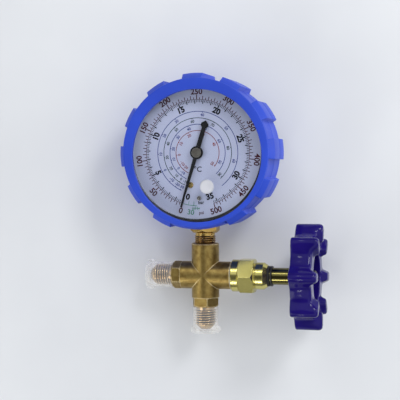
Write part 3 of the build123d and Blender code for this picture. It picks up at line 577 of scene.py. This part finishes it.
def cut_off(bm, point, direction):
    """Remove what lies past a plane and close the cut."""
    cut = bmesh.ops.bisect_plane(
        bm, geom=bm.verts[:] + bm.edges[:] + bm.faces[:], plane_co=point, plane_no=direction,
        clear_outer=True,
    )
    rim = [part for part in cut["geom_cut"] if isinstance(part, bmesh.types.BMEdge)]
    bmesh.ops.triangle_fill(bm, edges=rim, use_beauty=True)


SHOULDER_STUB = 0.2
forging = copied_solid("cross_body")
cut_off(forging, ((LEFT_SHOULDER - SHOULDER_STUB) * MM, 0, CROSS_Z), (-1, 0, 0))
cut_off(forging, (0, 0, (LOWER_SHOULDER - SHOULDER_STUB) * MM), (0, 0, -1))
forging_piece = make_piece(
    forging, "cross_forging", "gauge_body", "forged_brass", replaced=["cross_body"],
)

# %% [markdown]
# Where two arms of the forging meet, smooth shading would mix the normals of both and leave
# stains along the seams. More triangles would only make the stains smaller. But each arm is a
# true cylinder, so its normals are known: they point straight away from its axis. Setting them
# by rule keeps the long highlights clean right up to the seam.

# %% Normals that follow the forging's round arms
CROSS_CENTRE = Vector((0, 0, CROSS_Z))
ARM_AXES = (Vector((0, 0, 1)), Vector((1, 0, 0)))
ARM_R = 7.25
ARM_R_SLACK = 0.15
NEARLY_PARALLEL = 0.97


def away_from(axis, point):
    """Vector to a point from the nearest spot on an axis through the cross's centre."""
    offset = point - CROSS_CENTRE
    return offset - axis * offset.dot(axis)


def arm_under(face):
    """Axis of the round arm that a face lies on, or None."""
    for axis in ARM_AXES:
        outwards = away_from(axis, face.center)
        on_arm = abs(outwards.length / MM - ARM_R) < ARM_R_SLACK
        if on_arm and outwards.normalized().dot(face.normal) > NEARLY_PARALLEL:
            return axis
    return None


def follow_arms(mesh):
    """Point the normals of the round arms out of their axes and leave the rest flat."""
    normals = [None] * len(mesh.loops)
    for face in mesh.polygons:
        axis = arm_under(face)
        for loop in face.loop_indices:
            corner = mesh.vertices[mesh.loops[loop].vertex_index].co
            normals[loop] = away_from(axis, corner).normalized() if axis else face.normal
    mesh.normals_split_custom_set(normals)


follow_arms(forging_piece.data)
print("normals set:", len(forging_piece.data.loops))

# %% [markdown]
# Dirt gathers in the roots of a thread and shade falls there, and they are what makes its rows
# readable from afar. A turn of paint along each root would take a map of its own. Here the colour
# only needs the distance from the thread's axis: at the roots it is painted dark, as grime and
# painted shade, and at the crests it is clean.

# %% Grime and painted shade in the roots of a thread
# The roots are painted dark, as grime and painted shade.
GRIME_AND_SHADE = (0.05, 0.028, 0.014)
PORT_DARK_R, PORT_CLEAN_R = 4.8, 5.4
NECK_DARK_R, NECK_CLEAN_R = 5.22, 5.56


def darken_roots(material, centre, across, dark_r, clean_r):
    """Fade a finish to grime and painted shade below a radius, counted from the thread's axis."""
    tree = material.node_tree
    offset = vector_node(tree, "SUBTRACT", object_place(tree), centre)
    from_axis = vector_node(tree, "LENGTH", vector_node(tree, "MULTIPLY", offset, across))
    height = ranged(tree, from_axis, dark_r * MM, clean_r * MM)
    base = tree.nodes["Principled BSDF"].inputs["Base Color"]
    clean = base.links[0].from_socket
    tree.links.new(mixed_colour(tree, height.outputs[0], GRIME_AND_SHADE, clean), base)


for port, centre, across in (("left", (0, 0, CROSS_Z), (0, 1, 1)), ("lower", (0, 0, 0), (1, 1, 0))):
    port_brass = make_metal(
        port + "_thread_brass", (0.78, 0.56, 0.31), (0.62, 0.43, 0.22), (1.0, 0.88, 0.68),
        roughness=0.2, spread=0.1, cloud=200.0, edge_width=0.0002,
    )
    darken_roots(port_brass, centre, across, PORT_DARK_R, PORT_CLEAN_R)
    print("thread finish:", port_brass.name)
darken_roots(FINISHES["neck_brass"], (0, 0, 0), (1, 1, 0), NECK_DARK_R, NECK_CLEAN_R)

# %% [markdown]
# A flare thread is a row of ridges that climb by one pitch per turn. A zigzag outline of several
# pitches is spun with a climb of one pitch, so the end of the turn meets the next ridge of its
# start, and merging joins them into one long helix. Both ends are then cut square.

# %% Screw threads
THREAD_STEPS = 64
ROOT_END, CREST_START, CREST_END = 0.12, 0.44, 0.68


def screw_thread(bm, crest_r, root_r, pitch, start, end):
    """Helical ridges from one height to another, closed by flat ends."""
    zigzag = []
    for turn in range(-1, int((end - start) / pitch) + 2):
        foot = start + turn * pitch
        zigzag += [
            (root_r, foot), (root_r, foot + pitch * ROOT_END),
            (crest_r, foot + pitch * CREST_START), (crest_r, foot + pitch * CREST_END),
        ]
    spin_outline(bm, zigzag, THREAD_STEPS, pitch=pitch, closed=False)
    merge_and_orient(bm)
    cut_off(bm, (0, 0, end * MM), (0, 0, 1))
    cut_off(bm, (0, 0, start * MM), (0, 0, -1))


PORT_CREST_R, PORT_ROOT_R = 5.5, 4.75
THREAD_PITCH = 1.27
THREAD_START = 1.7
THREAD_END = 9.2
SEAT_STEPS = 72
SEAT_OUTLINE = [
    (0, -0.6), (4.84, -0.6), (4.84, 1.4), (4.72, 1.8), (4.72, 9.3), (4.95, 9.4), (4.75, 9.8),
    (4.75, 9.95), (2.85, 11.85), (2.4, 11.95), (2.4, 8.0), (0, 8.0),
]
for port, place in (("left", LEFT_PORT), ("lower", LOWER_PORT)):
    threads = bmesh.new()
    screw_thread(threads, PORT_CREST_R, PORT_ROOT_R, THREAD_PITCH, THREAD_START, THREAD_END)
    make_piece(
        threads, port + "_port_thread", "gauge_body", port + "_thread_brass", place,
    )
    seat = bmesh.new()
    spin_outline(seat, SEAT_OUTLINE, SEAT_STEPS)
    merge_and_orient(seat)
    make_piece(seat, port + "_port_seat", "gauge_body", "thread_brass", place)

# %% The thread under the gauge's hex
NECK_CREST_R, NECK_ROOT_R = 5.62, 5.17
NECK_PITCH = 1.1
NECK_START, NECK_END = UPPER_ARM_END - 0.6, UPPER_ARM_END + 4.1
neck_thread = bmesh.new()
screw_thread(neck_thread, NECK_CREST_R, NECK_ROOT_R, NECK_PITCH, NECK_START, NECK_END)
make_piece(neck_thread, "socket_neck_thread", "gauge_body", "neck_brass")

# %% [markdown]
# The handwheel is cast, with eight lobes that swell out of a round core and stand a little
# proud of its face. Its profile is spun as a plain round wheel first. Each row of the profile
# says how far a lobe pushes it outwards and upwards, and the angle says how much lobe there is.
# Moving every vertex by these gives flanks that flow into each other, as enamel does on a
# casting. Eight blocks joined to a disc would leave creases instead.

# %% The handwheel's profile
LOBES = 8
WHEEL_STEPS = LOBES * 24
WHEEL_TURN = -5.0
wheel_low, wheel_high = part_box("handwheel")
WHEEL_BACK = wheel_low.x / MM
CORE_R = 22.2
LOBE_GROWTH = wheel_high.y / MM - CORE_R
LOBE_RISE = 3.2
WHEEL_FACE = wheel_high.x / MM - LOBE_RISE
RECESS_FLOOR = WHEEL_FACE - 6.4
HUB_FACE = RECESS_FLOOR + 3.2
WHEEL_PROFILE = [
    # radius, height, share of a lobe's swell outwards, share of its rise
    (4.5, WHEEL_BACK, 0, 0), (12, WHEEL_BACK, 0, 0), (CORE_R - 1, WHEEL_BACK, 1, 0),
    (CORE_R - 0.3, WHEEL_BACK + 0.3, 1, 0), (CORE_R, WHEEL_BACK + 1, 1, 0),
    (CORE_R, WHEEL_FACE - 5, 1, 0.3), (CORE_R, WHEEL_FACE - 1.9, 1, 1),
    (CORE_R - 0.3, WHEEL_FACE - 0.9, 1, 1), (CORE_R - 1, WHEEL_FACE - 0.2, 1, 1),
    (CORE_R - 1.9, WHEEL_FACE, 1, 1), (19.4, WHEEL_FACE, 0, 1), (18.4, WHEEL_FACE, 0, 0.92),
    (17.7, WHEEL_FACE, 0, 0.6), (17.3, WHEEL_FACE, 0, 0.2), (17, WHEEL_FACE, 0, 0),
    (13.6, WHEEL_FACE, 0, 0), (13.2, WHEEL_FACE - 0.4, 0, 0),
    (13.2, RECESS_FLOOR + 1.2, 0, 0), (12, RECESS_FLOOR, 0, 0), (6.8, RECESS_FLOOR, 0, 0),
    (6.2, HUB_FACE - 0.5, 0, 0), (5.7, HUB_FACE, 0, 0), (4.5, HUB_FACE, 0, 0),
]
wheel = bmesh.new()
spin_outline(wheel, [(radius, height) for radius, height, _, _ in WHEEL_PROFILE], WHEEL_STEPS)
merge_and_orient(wheel)
print("round wheel's faces:", len(wheel.faces))

# %% The handwheel's lobes
LOBE_HALF_WIDTH = 3.9
LOBE_SLOPE = 2.2
LOBE_CROWN_R = 21


def lobe_at(angle):
    """How far a lobe swells outwards and rises at an angle, each from 0 to 1."""
    swell = (0.5 + 0.5 * math.cos(LOBES * angle)) ** 2
    share = 2 * math.pi / LOBES
    sideways = abs((angle + share / 2) % share - share / 2) * LOBE_CROWN_R
    rise = min(max((LOBE_HALF_WIDTH - sideways) / LOBE_SLOPE, 0), 1)
    return swell, rise * rise * (3 - 2 * rise)


def profile_row(vertex):
    """Row of the wheel's profile that a vertex was spun from."""
    radius, height = vertex.co.xy.length / MM, vertex.co.z / MM
    return min(WHEEL_PROFILE, key=lambda row: abs(row[0] - radius) + abs(row[1] - height))


for vertex in wheel.verts:
    radius, height, outwards, upwards = profile_row(vertex)
    swell, rise = lobe_at(math.atan2(vertex.co.y, vertex.co.x))
    rim = vertex.co.xy.normalized() * (radius + outwards * swell * LOBE_GROWTH) * MM
    vertex.co = (rim.x, rim.y, (height + upwards * rise * LOBE_RISE) * MM)
bmesh.ops.rotate(
    wheel, verts=wheel.verts[:], cent=(0, 0, 0),
    matrix=Matrix.Rotation(math.radians(WHEEL_TURN), 3, "Z"),
)
bmesh.ops.recalc_face_normals(wheel, faces=wheel.faces[:])
make_piece(
    wheel, "enamelled_wheel", "stem_assembly", "wheel_blue", VALVE, replaced=["handwheel"],
    sharp=40.0,
)

# %% [markdown]
# The rubber boot is one moulding: a lipped ring with twelve lugs for grip, and a broader pad
# where the socket leaves it. It is spun as a plain ring first. The faces of each lug are then
# extruded as one region and pushed outwards, and the new edges are bevelled, as a mould would
# round them. Spinning the ring with the lugs already on it isn't possible, and joining twelve
# blocks to it would leave creases where rubber has none.

# %% The boot's ring
RING_STEPS = 240
FIRST_LUG_EDGE = -5.2
RING_R = 38.1
LUG_R = 40.75
PAD_R = 39.3
LIP_R = 33.8
LIP_SHIFT = Vector((0.65, -1.6, 0)) * MM
LUG_BACK, LUG_FRONT = BOOT_BACK + 4.0, BOOT_FRONT - 0.5
LUG_BEND_BACK, LUG_BEND_FRONT = BOOT_BACK + 6.4, BOOT_FRONT - 4.2
PARTING = 4.0
boot = bmesh.new()
spin_outline(boot, [
    (31.4, BOOT_BACK), (35.5, BOOT_BACK), (36.8, BOOT_BACK + 0.35), (37.75, BOOT_BACK + 1.3),
    (RING_R, BOOT_BACK + 2.6), (RING_R, LUG_BACK), (RING_R, LUG_BEND_BACK),
    (RING_R, PARTING - 0.25), (RING_R + 0.16, PARTING), (RING_R, PARTING + 0.25),
    (RING_R, LUG_BEND_FRONT), (RING_R, LUG_FRONT), (RING_R - 0.15, BOOT_FRONT - 0.12),
    (RING_R - 0.5, BOOT_FRONT), (LIP_R + 0.45, BOOT_FRONT),
    (LIP_R + 0.12, BOOT_FRONT - 0.12), (LIP_R, BOOT_FRONT - 0.45), (LIP_R, LENS_FRONT + 0.03),
    (CASE_R + 0.03, LENS_FRONT + 0.03), (CASE_R + 0.03, -10.6), (33.6, -12.97), (31.4, -12.97),
], RING_STEPS)
merge_and_orient(boot)
bmesh.ops.rotate(
    boot, verts=boot.verts[:], cent=(0, 0, 0),
    matrix=Matrix.Rotation(math.radians(FIRST_LUG_EDGE), 3, "Z"),
)
for vertex in boot.verts:
    spread = (vertex.co.xy.length / MM - RING_R + 1) / (LIP_R - RING_R + 1)
    if vertex.co.z > LENS_FRONT * MM and spread > 0:
        vertex.co += LIP_SHIFT * min(spread, 1.0)
print("ring faces:", len(boot.faces))

# %% The boot's lugs
LUGS = 12
LUG_SHARE = 360 // LUGS
LUG_SPAN = 15.0
PAD_LUG = 9
PAD_BEFORE, PAD_AFTER = 15, 28.5
FRONT_LIFT, BACK_LIFT, PARTING_DIP = 0.05, 0.5, 0.22
NEAR = 0.1
CREASE = 28
LUG_ROUNDING = 0.35


def lug_faces(bm, first_angle, last_angle):
    """Faces of the ring's outer wall between two angles, counted from three o'clock."""
    found = []
    for face in bm.faces:
        middle = face.calc_center_median()
        angle = (math.degrees(math.atan2(middle.y, middle.x)) - first_angle) % 360
        on_wall = middle.xy.length > (RING_R - 0.2) * MM and LUG_BACK < middle.z / MM < LUG_FRONT
        if on_wall and angle < last_angle - first_angle:
            found.append(face)
    return found


def raise_lug(bm, faces, top_r):
    """Push a patch of the wall outwards, sloped at its front and back."""
    raised = bmesh.ops.extrude_face_region(bm, geom=faces)
    for vertex in (part for part in raised["geom"] if isinstance(part, bmesh.types.BMVert)):
        depth = vertex.co.z / MM
        radius = top_r
        if depth > LUG_BEND_FRONT + NEAR:
            radius = RING_R + FRONT_LIFT
        elif depth < LUG_BEND_BACK - NEAR:
            radius = RING_R + BACK_LIFT
        elif abs(depth - PARTING) < NEAR:
            radius = top_r - PARTING_DIP
        flat = vertex.co.xy.normalized() * radius * MM
        vertex.co = (flat.x, flat.y, vertex.co.z)
    bmesh.ops.delete(bm, geom=faces, context="FACES")


for index in range(LUGS):
    lug_start = FIRST_LUG_EDGE + index * LUG_SHARE
    if index == PAD_LUG:
        raise_lug(boot, lug_faces(boot, lug_start - PAD_BEFORE, lug_start + PAD_AFTER), PAD_R)
    else:
        raise_lug(boot, lug_faces(boot, lug_start, lug_start + LUG_SPAN), LUG_R)
sharp_edges = [
    edge for edge in boot.edges
    if edge.is_manifold and edge.calc_face_angle() > math.radians(CREASE)
    and min(vertex.co.xy.length for vertex in edge.verts) > (RING_R - 0.02) * MM
]
bmesh.ops.bevel(
    boot, geom=sharp_edges, offset=LUG_ROUNDING * MM, offset_type="OFFSET", segments=2, profile=0.5,
    affect="EDGES", clamp_overlap=True, material=-1,
)
boot_piece = make_piece(
    boot, "boot", "gauge_body", "boot_blue", DIAL, replaced=["gauge_boot"], sharp=30.0,
)

# %% [markdown]
# The socket leaves the boot through a round hole in its pad. Cutting that hole into the mesh by
# hand would mean new faces all round it, so here a Boolean modifier subtracts a cylinder, and
# its result replaces the mesh. The cylinder is then thrown away.

# %% The way out for the socket
SOCKET_HOLE_R = 8.38
HOLE_START, HOLE_END = 40, 62


def cut_hole(piece, radius, start, end):
    """Subtract an upright cylinder between two heights from a finished piece."""
    bm = bmesh.new()
    bmesh.ops.create_cone(
        bm, cap_ends=True, segments=64, radius1=radius * MM, radius2=radius * MM,
        depth=(end - start) * MM, matrix=Matrix.Translation((0, 0, (start + end) / 2 * MM)),
    )
    cutter_mesh = bpy.data.meshes.new("cutter")
    bm.to_mesh(cutter_mesh)
    bm.free()
    cutter = placed_object("cutter", cutter_mesh)
    hole = piece.modifiers.new("hole", "BOOLEAN")
    hole.operation = "DIFFERENCE"
    hole.object = cutter
    evaluated = piece.evaluated_get(bpy.context.evaluated_depsgraph_get())
    cut_mesh = bpy.data.meshes.new_from_object(evaluated)
    piece.modifiers.clear()
    cut_mesh.name = piece.name
    piece.data = cut_mesh
    bpy.data.objects.remove(cutter)


cut_hole(boot_piece, SOCKET_HOLE_R, HOLE_START, HOLE_END)
print("boot faces:", len(boot_piece.data.polygons))

# %% [markdown]
# The print on the dial lies flat on the paint, a few hundredths of a millimetre thick. Every
# tick is a thin bar, every arc a ring segment, and every number a text object turned into a
# mesh. Print could be one image, but drawn shapes stay sharp from any distance. Angles are
# counted clockwise from three o'clock, as the pointer moves.

# %% Ticks and arcs
INK_FOOT = DIAL_FRONT - 0.02
INK_TOP = DIAL_FRONT + 0.03
INK_MIDDLE = (INK_TOP + INK_FOOT) / 2
INK_THICKNESS = INK_TOP - INK_FOOT
ARC_STEP = 3
print("ink thickness:", round(INK_THICKNESS, 3), "mm")


def dial_turn(angle):
    """Clockwise turn about the dial's centre."""
    return Matrix.Rotation(-math.radians(angle), 4, "Z")


def add_tick(bm, inner_r, outer_r, angle, width):
    """Radial bar between two radii."""
    size = Matrix.Diagonal(((outer_r - inner_r) * MM, width * MM, INK_THICKNESS * MM, 1))
    spot = Matrix.Translation(((outer_r + inner_r) / 2 * MM, 0, INK_MIDDLE * MM))
    bmesh.ops.create_cube(bm, size=1, matrix=dial_turn(angle) @ spot @ size)


def add_arc(bm, radius, start, end, width):
    """Ring segment from one angle to another, clockwise."""
    inner, outer = (radius - width / 2) * MM, (radius + width / 2) * MM
    corners = [
        bm.verts.new((r, 0, z * MM))
        for r, z in ((inner, INK_FOOT), (outer, INK_FOOT), (outer, INK_TOP), (inner, INK_TOP))
    ]
    edges = [bm.edges.new((corners[i], corners[(i + 1) % 4])) for i in range(4)]
    bmesh.ops.rotate(bm, verts=corners, cent=(0, 0, 0), matrix=dial_turn(start).to_3x3())
    swept = bmesh.ops.spin(
        bm, geom=corners + edges, cent=(0, 0, 0), axis=(0, 0, -1), dvec=(0, 0, 0),
        angle=math.radians(end - start), steps=int((end - start) / ARC_STEP),
    )
    last = [part for part in swept["geom_last"] if isinstance(part, bmesh.types.BMEdge)]
    bmesh.ops.holes_fill(bm, edges=edges + last)


# %% Numbers and words
def add_words(bm, words, radius, angle, size, thicken=0.0, upright=False):
    """Text centred on a point of the dial, its top outwards above and inwards below."""
    curve = bpy.data.curves.new("words", "FONT")
    curve.body = words
    curve.size = size * MM
    curve.align_x = "CENTER"
    curve.align_y = "CENTER"
    curve.offset = thicken * MM
    curve.resolution_u = 3
    curve.extrude = INK_THICKNESS / 2 * MM
    carrier = bpy.data.objects.new("words", curve)
    mesh = bpy.data.meshes.new_from_object(carrier)
    lower_half = 20 < angle % 360 < 160
    turn = 0 if upright else 90 - angle if lower_half else -90 - angle
    spot = dial_turn(angle) @ Vector((radius * MM, 0, INK_MIDDLE * MM))
    mesh.transform(Matrix.Translation(spot) @ Matrix.Rotation(math.radians(turn), 4, "Z"))
    bm.from_mesh(mesh)
    bpy.data.objects.remove(carrier)
    bpy.data.curves.remove(curve)
    bpy.data.meshes.remove(mesh)


# %% [markdown]
# Each colour of print is one more finish from the same recipe: a thin, slightly worn ink. They
# are nearly black on purpose, because thin lines look paler from afar than the ink itself.

# %% Inks
for name, ink, worn in (
    ("red", (0.042, 0.005, 0.010), (0.07, 0.012, 0.018)),
    ("black", (0.003, 0.003, 0.006), (0.008, 0.008, 0.014)),
    ("blue", (0.008, 0.018, 0.14), (0.02, 0.035, 0.20)),
    ("green", (0.004, 0.022, 0.016), (0.01, 0.035, 0.03)),
    ("brown", (0.16, 0.02, 0.016), (0.22, 0.04, 0.035)),
    ("vacuum", (0.02, 0.16, 0.08), (0.08, 0.26, 0.17)),
):
    make_finish(
        "ink_" + name, ink, worn, worn, roughness=0.6, cloud=900.0, grain=6000.0, bump=0.05,
        height=0.00001, edge_width=0.00003, specular=0.1,
    )
    print("ink:", name)


def print_on_dial(bm, name, ink):
    """Piece of print on the dial in one of the inks."""
    make_piece(bm, name, "gauge_body", "ink_" + ink, DIAL)


# %% [markdown]
# Both pressure scales start at the same angle and turn at their own rate, so one psi and one
# bar each get their own number of degrees. Longer ticks mark the numbered values.

# %% The outer scale, 0 to 500
ZERO_ANGLE = 107.0
DEGREES_PER_PSI = 0.65
DEGREES_PER_BAR = 9.43
SCALE_R = 27.3
FULL_PSI, FULL_BAR = 500, 34.4
OUTER_NUMBER_R, INNER_NUMBER_R = 31.2, 23.4
NUMBER_SIZE, UNIT_SIZE = 4.1, 2.4
outer_ticks = bmesh.new()
for psi in range(0, FULL_PSI + 1, 5):
    reach = 2.4 if psi % 50 == 0 else 1.9 if psi % 10 == 0 else 1.1
    width = 0.46 if psi % 50 == 0 else 0.36
    add_tick(outer_ticks, SCALE_R, SCALE_R + reach, ZERO_ANGLE + psi * DEGREES_PER_PSI, width)
add_arc(outer_ticks, SCALE_R, ZERO_ANGLE, ZERO_ANGLE + FULL_PSI * DEGREES_PER_PSI, 0.24)
print_on_dial(outer_ticks, "outer_scale_marks", "red")
outer_numbers = bmesh.new()
for psi in range(0, FULL_PSI + 1, 50):
    angle = ZERO_ANGLE + psi * DEGREES_PER_PSI
    add_words(outer_numbers, str(psi), OUTER_NUMBER_R, angle, NUMBER_SIZE, 0.11)
add_words(outer_numbers, "psi", 30.9, 86.5, UNIT_SIZE, 0.04)
print_on_dial(outer_numbers, "outer_scale_numbers", "red")

# %% The inner scale, 0 to 35
INNER_TICK_R = SCALE_R - 0.3
FIRST_NUMBER_ANGLE, LAST_NUMBER_ANGLE = 103.0, 434.0
inner_ticks = bmesh.new()
for step in range(round(FULL_BAR * 5) + 1):
    reach, width = (2.5, 0.6) if step % 25 == 0 else (1.8, 0.5) if step % 5 == 0 else (1.1, 0.3)
    angle = ZERO_ANGLE + step / 5 * DEGREES_PER_BAR
    add_tick(inner_ticks, INNER_TICK_R - reach, INNER_TICK_R, angle, width)
print_on_dial(inner_ticks, "inner_scale_marks", "black")
inner_numbers = bmesh.new()
for bar in range(0, 36, 5):
    angle = min(ZERO_ANGLE + bar * DEGREES_PER_BAR, LAST_NUMBER_ANGLE) if bar else FIRST_NUMBER_ANGLE
    add_words(inner_numbers, str(bar), INNER_NUMBER_R, angle, NUMBER_SIZE, 0.2)
add_words(inner_numbers, "bar", 25.7, 86.0, UNIT_SIZE, 0.06)
add_words(inner_numbers, "°C", 8.6, 89.0, 3.8, 0.06, upright=True)
print_on_dial(inner_numbers, "inner_scale_numbers", "black")

# %% [markdown]
# The boot's lip stands a little off the dial's centre, so a dark gap of shade shows between the
# two, wide at the right and below and closed at the left. A thin dark ring whose inner circle is
# shifted to the left paints that crescent as a painted shadow. Waiting for the lamps to cast it
# would hang on their places.

# %% The painted shadow in the gap around the dial
GAP_INNER_R, GAP_OUTER_R = 33.9, 35.1
GAP_SHIFT = Vector((-0.75, -0.1, 0)) * MM
GAP_STEPS = 180
gap = bmesh.new()
spin_outline(gap, [
    (GAP_INNER_R, INK_FOOT), (GAP_OUTER_R, INK_FOOT), (GAP_OUTER_R, INK_TOP), (GAP_INNER_R, INK_TOP),
], GAP_STEPS)
merge_and_orient(gap)
inner_rim = [vertex for vertex in gap.verts if vertex.co.xy.length < (GAP_INNER_R + 0.1) * MM]
bmesh.ops.translate(gap, verts=inner_rim, vec=GAP_SHIFT)
# The black gasket finish is used here as painted shadow.
make_piece(gap, "dial_rim_shade", "gauge_body", "gasket_black", DIAL)

# %% [markdown]
# Below the zero of both pressure scales a short green scale stands for vacuum. It has two ticks,
# and only its last value is numbered.

# %% The vacuum marks
vacuum = bmesh.new()
add_arc(vacuum, SCALE_R, 91.0, ZERO_ANGLE, 0.3)
for angle, width in ((94.5, 0.26), (100.5, 0.2)):
    add_tick(vacuum, SCALE_R - 2.2, SCALE_R, angle, width)
add_words(vacuum, "30", 30.9, 97.0, 3.7, 0.06)
add_words(vacuum, "inHg", 28.6, 92.0, 2.2, 0.04)
print_on_dial(vacuum, "vacuum_marks", "vacuum")

# %% [markdown]
# Inside the pressure scales lie four temperature scales, one for each common refrigerant. They
# are uneven, because vapour pressure doesn't rise evenly with temperature, so each number has
# its own angle.

# %% Temperature scales
ARC_START = 114.0
TEMPERATURE_SCALES = [
    # ink, radius, angle where the arc ends, coldest number, angle of every tenth degree from it
    ("blue", 21.2, 413.0, -30, (116, 124, 135, 153, 178, 207, 236, 278, 321, 373)),
    ("green", 17.9, 408.0, -10, (113.5, 123, 134, 150.5, 172, 197, 227, 261, 300, 352, 404)),
    ("blue", 14.6, 408.0, -10, (128, 142, 165, 189, 218, 250, 288, 333, 383)),
    ("brown", 11.4, 398.7, -20, (131, 146, 174, 208, 244, 287, 334, 396)),
]
for count, (ink, radius, arc_end, coldest, angles) in enumerate(TEMPERATURE_SCALES, 1):
    scale = bmesh.new()
    add_arc(scale, radius, ARC_START, arc_end, 0.33)
    for tens, angle in enumerate(angles):
        add_tick(scale, radius - 0.6, radius, angle, 0.35)
        add_words(scale, str(coldest + 10 * tens), radius - 1.75, angle, 2.0, 0.05)
    print_on_dial(scale, "temperature_scale_" + str(count), ink)

# %% [markdown]
# The camera looks a little from the right and from above, from a bit over half a metre. Its lens
# is given as the focal length in pixels, which ties it to the width of the picture, and a small
# turn of the aim slides the object in the picture without changing how it is seen.

# %% The camera
def room_direction(azimuth, elevation):
    """Unit vector from the object; azimuth counts in degrees from the front to the right."""
    a, e = math.radians(azimuth), math.radians(elevation)
    return Vector((math.sin(a) * math.cos(e), -math.cos(a) * math.cos(e), math.sin(e)))


CAMERA_ROLL = math.radians(0.37)
CAMERA_DISTANCE = 0.566
FOCAL_PIXELS = 1083.0
PICTURE_WIDTH = 400
AIM_ASIDE, AIM_UP = 18.0 / FOCAL_PIXELS, -1.3 / FOCAL_PIXELS
target = Vector((0.008, -0.004, 0.066))
to_camera = room_direction(13.1, 1.9)
camera_data = bpy.data.cameras.new("camera")
camera = placed_object("camera", camera_data)
camera_data.sensor_width = 36.0
camera_data.lens = FOCAL_PIXELS / PICTURE_WIDTH * camera_data.sensor_width
camera_data.clip_start = 0.01
camera.location = target + to_camera * CAMERA_DISTANCE
level = (-to_camera).to_track_quat("-Z", "Y").to_matrix().to_4x4()
aim = Matrix.Rotation(AIM_ASIDE, 4, "Y") @ Matrix.Rotation(AIM_UP, 4, "X")
camera.matrix_world = (
    Matrix.Translation(camera.location) @ level @ Matrix.Rotation(-CAMERA_ROLL, 4, "Z") @ aim
)
bpy.context.scene.camera = camera
print("camera at", [round(c, 4) for c in camera.location])

# %% [markdown]
# The table that the object lies on is the only backdrop. It stands behind the object in this
# frame, square to the camera's line of sight. It lets shadow rays pass and is clear from behind,
# so that the other views aren't blocked; the shadows on it stay, because they start on it.

# %% The table
TABLE_HALF = 0.9
TABLE_GAP = 0.3 * MM
furthest_back = min(
    vertex.co.dot(to_camera) for node in frame["nodes"].values() for vertex in node.data.vertices
)
table_mesh = bmesh.new()
bmesh.ops.create_grid(table_mesh, x_segments=2, y_segments=2, size=TABLE_HALF)
table_place = to_camera.to_track_quat("Z", "Y").to_matrix().to_4x4()
table_place.translation = to_camera * (furthest_back - TABLE_GAP) + Vector((0, 0, target.z))
table_mesh.transform(table_place)
table_data = bpy.data.meshes.new("table")
table_mesh.to_mesh(table_data)
table_mesh.free()
table = placed_object("table", table_data)


def make_table_material():
    """Pale laminate with faint clouds, clear from behind and to shadow rays."""
    material = make_finish(
        "table_top", (0.76, 0.775, 0.80), (0.72, 0.735, 0.765), (0.8, 0.8, 0.8), roughness=0.6,
        cloud=14.0, grain=700.0, bump=0.05, height=0.0001,
    )
    tree = material.node_tree
    backface = tree.nodes.new("ShaderNodeNewGeometry").outputs["Backfacing"]
    unseen = math_node(tree, "MAXIMUM", backface, shadow_ray(tree))
    clear_where(tree, tree.nodes["Principled BSDF"], unseen)
    return material


table_data.materials.append(make_table_material())
print("table stands", round(furthest_back / MM, 1), "mm from the origin along the view")

# %% [markdown]
# Bright metal shows little of its own colour and mostly the room around it. The room here is
# the world: a bright ring round the camera's side, dim towards the table, and one dark patch in
# front, a little below and to the left, as a person leaning over the table makes. Without that
# patch the brass and the lens would look like flat paint. A picture of a real room would do the
# same, but a ramp and one soft patch are easier to steer.

# %% The room
ROOM_LEVELS = ((0.0, 0.3), (0.1, 0.15), (0.25, 0.25), (0.5, 0.65), (0.75, 0.9), (1.0, 0.85))
ROOM_COLOUR = (0.96, 0.98, 1.0, 1)
PATCH_DIRECTION = room_direction(-9, -9)
PATCH_EDGE, PATCH_CORE = 0.89, 0.965
PATCH_LEVEL = 0.12


def facing_share(tree, direction):
    """How far a world ray points in a direction, as the cosine of the angle between them."""
    ray = tree.nodes.new("ShaderNodeTexCoord").outputs["Generated"]
    return vector_node(tree, "DOT_PRODUCT", ray, direction)


def make_room():
    """World that is bright round the camera's side, with a dark patch in front."""
    world = bpy.data.worlds.new("room")
    bpy.context.scene.world = world
    world.use_nodes = True
    tree = world.node_tree
    rise = tree.nodes.new("ShaderNodeValToRGB")
    stops = rise.color_ramp.elements
    for spot in ROOM_LEVELS[1:-1]:
        stops.new(spot[0])
    for stop, (_, level) in zip(stops, ROOM_LEVELS):
        stop.color = (level, level, level, 1)
    tree.links.new(facing_share(tree, to_camera), rise.inputs[0])
    towards = facing_share(tree, PATCH_DIRECTION)
    patch = ranged(tree, towards, PATCH_EDGE, PATCH_CORE, 1.0, PATCH_LEVEL)
    patch.interpolation_type = "SMOOTHSTEP"
    background = tree.nodes["Background"]
    background.inputs["Color"].default_value = ROOM_COLOUR
    level = math_node(tree, "MULTIPLY", rise.outputs[0], patch.outputs[0])
    tree.links.new(level, background.inputs["Strength"])


make_room()
print("room levels:", [level for _, level in ROOM_LEVELS])

# %% [markdown]
# The world alone would leave no shadow with a direction. The key lamp from the upper right casts
# it, a wide fill from the lower left softens it, and two narrow lamps above and below draw the
# bright lines along the round brass. The last two light the side and the back for other views.

# %% Lamps
LAMPS = [
    # name, azimuth, elevation, distance, size, power
    ("key", 50, 38, 0.9, 0.25, 2.6),
    ("ceiling", -13, 40, 0.95, 0.14, 0.45),
    ("fill", -50, -28, 1.0, 0.6, 2.8),
    ("window", -13, -50, 0.9, 0.14, 0.6),
    ("side", 92, 12, 0.8, 0.4, 2.0),
    ("behind", 180, 30, 0.8, 0.7, 3.0),
]


def add_lamp(name, azimuth, elevation, distance, size, power):
    """Square soft lamp that faces the middle of the object."""
    lamp = bpy.data.lights.new(name, "AREA")
    lamp.energy = power
    lamp.size = size
    holder = placed_object(name, lamp)
    direction = room_direction(azimuth, elevation)
    turn = direction.to_track_quat("Z", "Y").to_matrix().to_4x4()
    holder.matrix_world = Matrix.Translation(target + direction * distance) @ turn


for lamp_row in LAMPS:
    add_lamp(*lamp_row)
print("lamps:", len(LAMPS))

# %% [markdown]
# The colours are shown as they are, without a film look, so that they read the same elsewhere.

# %% Finish
bpy.context.scene.view_settings.view_transform = "Standard"
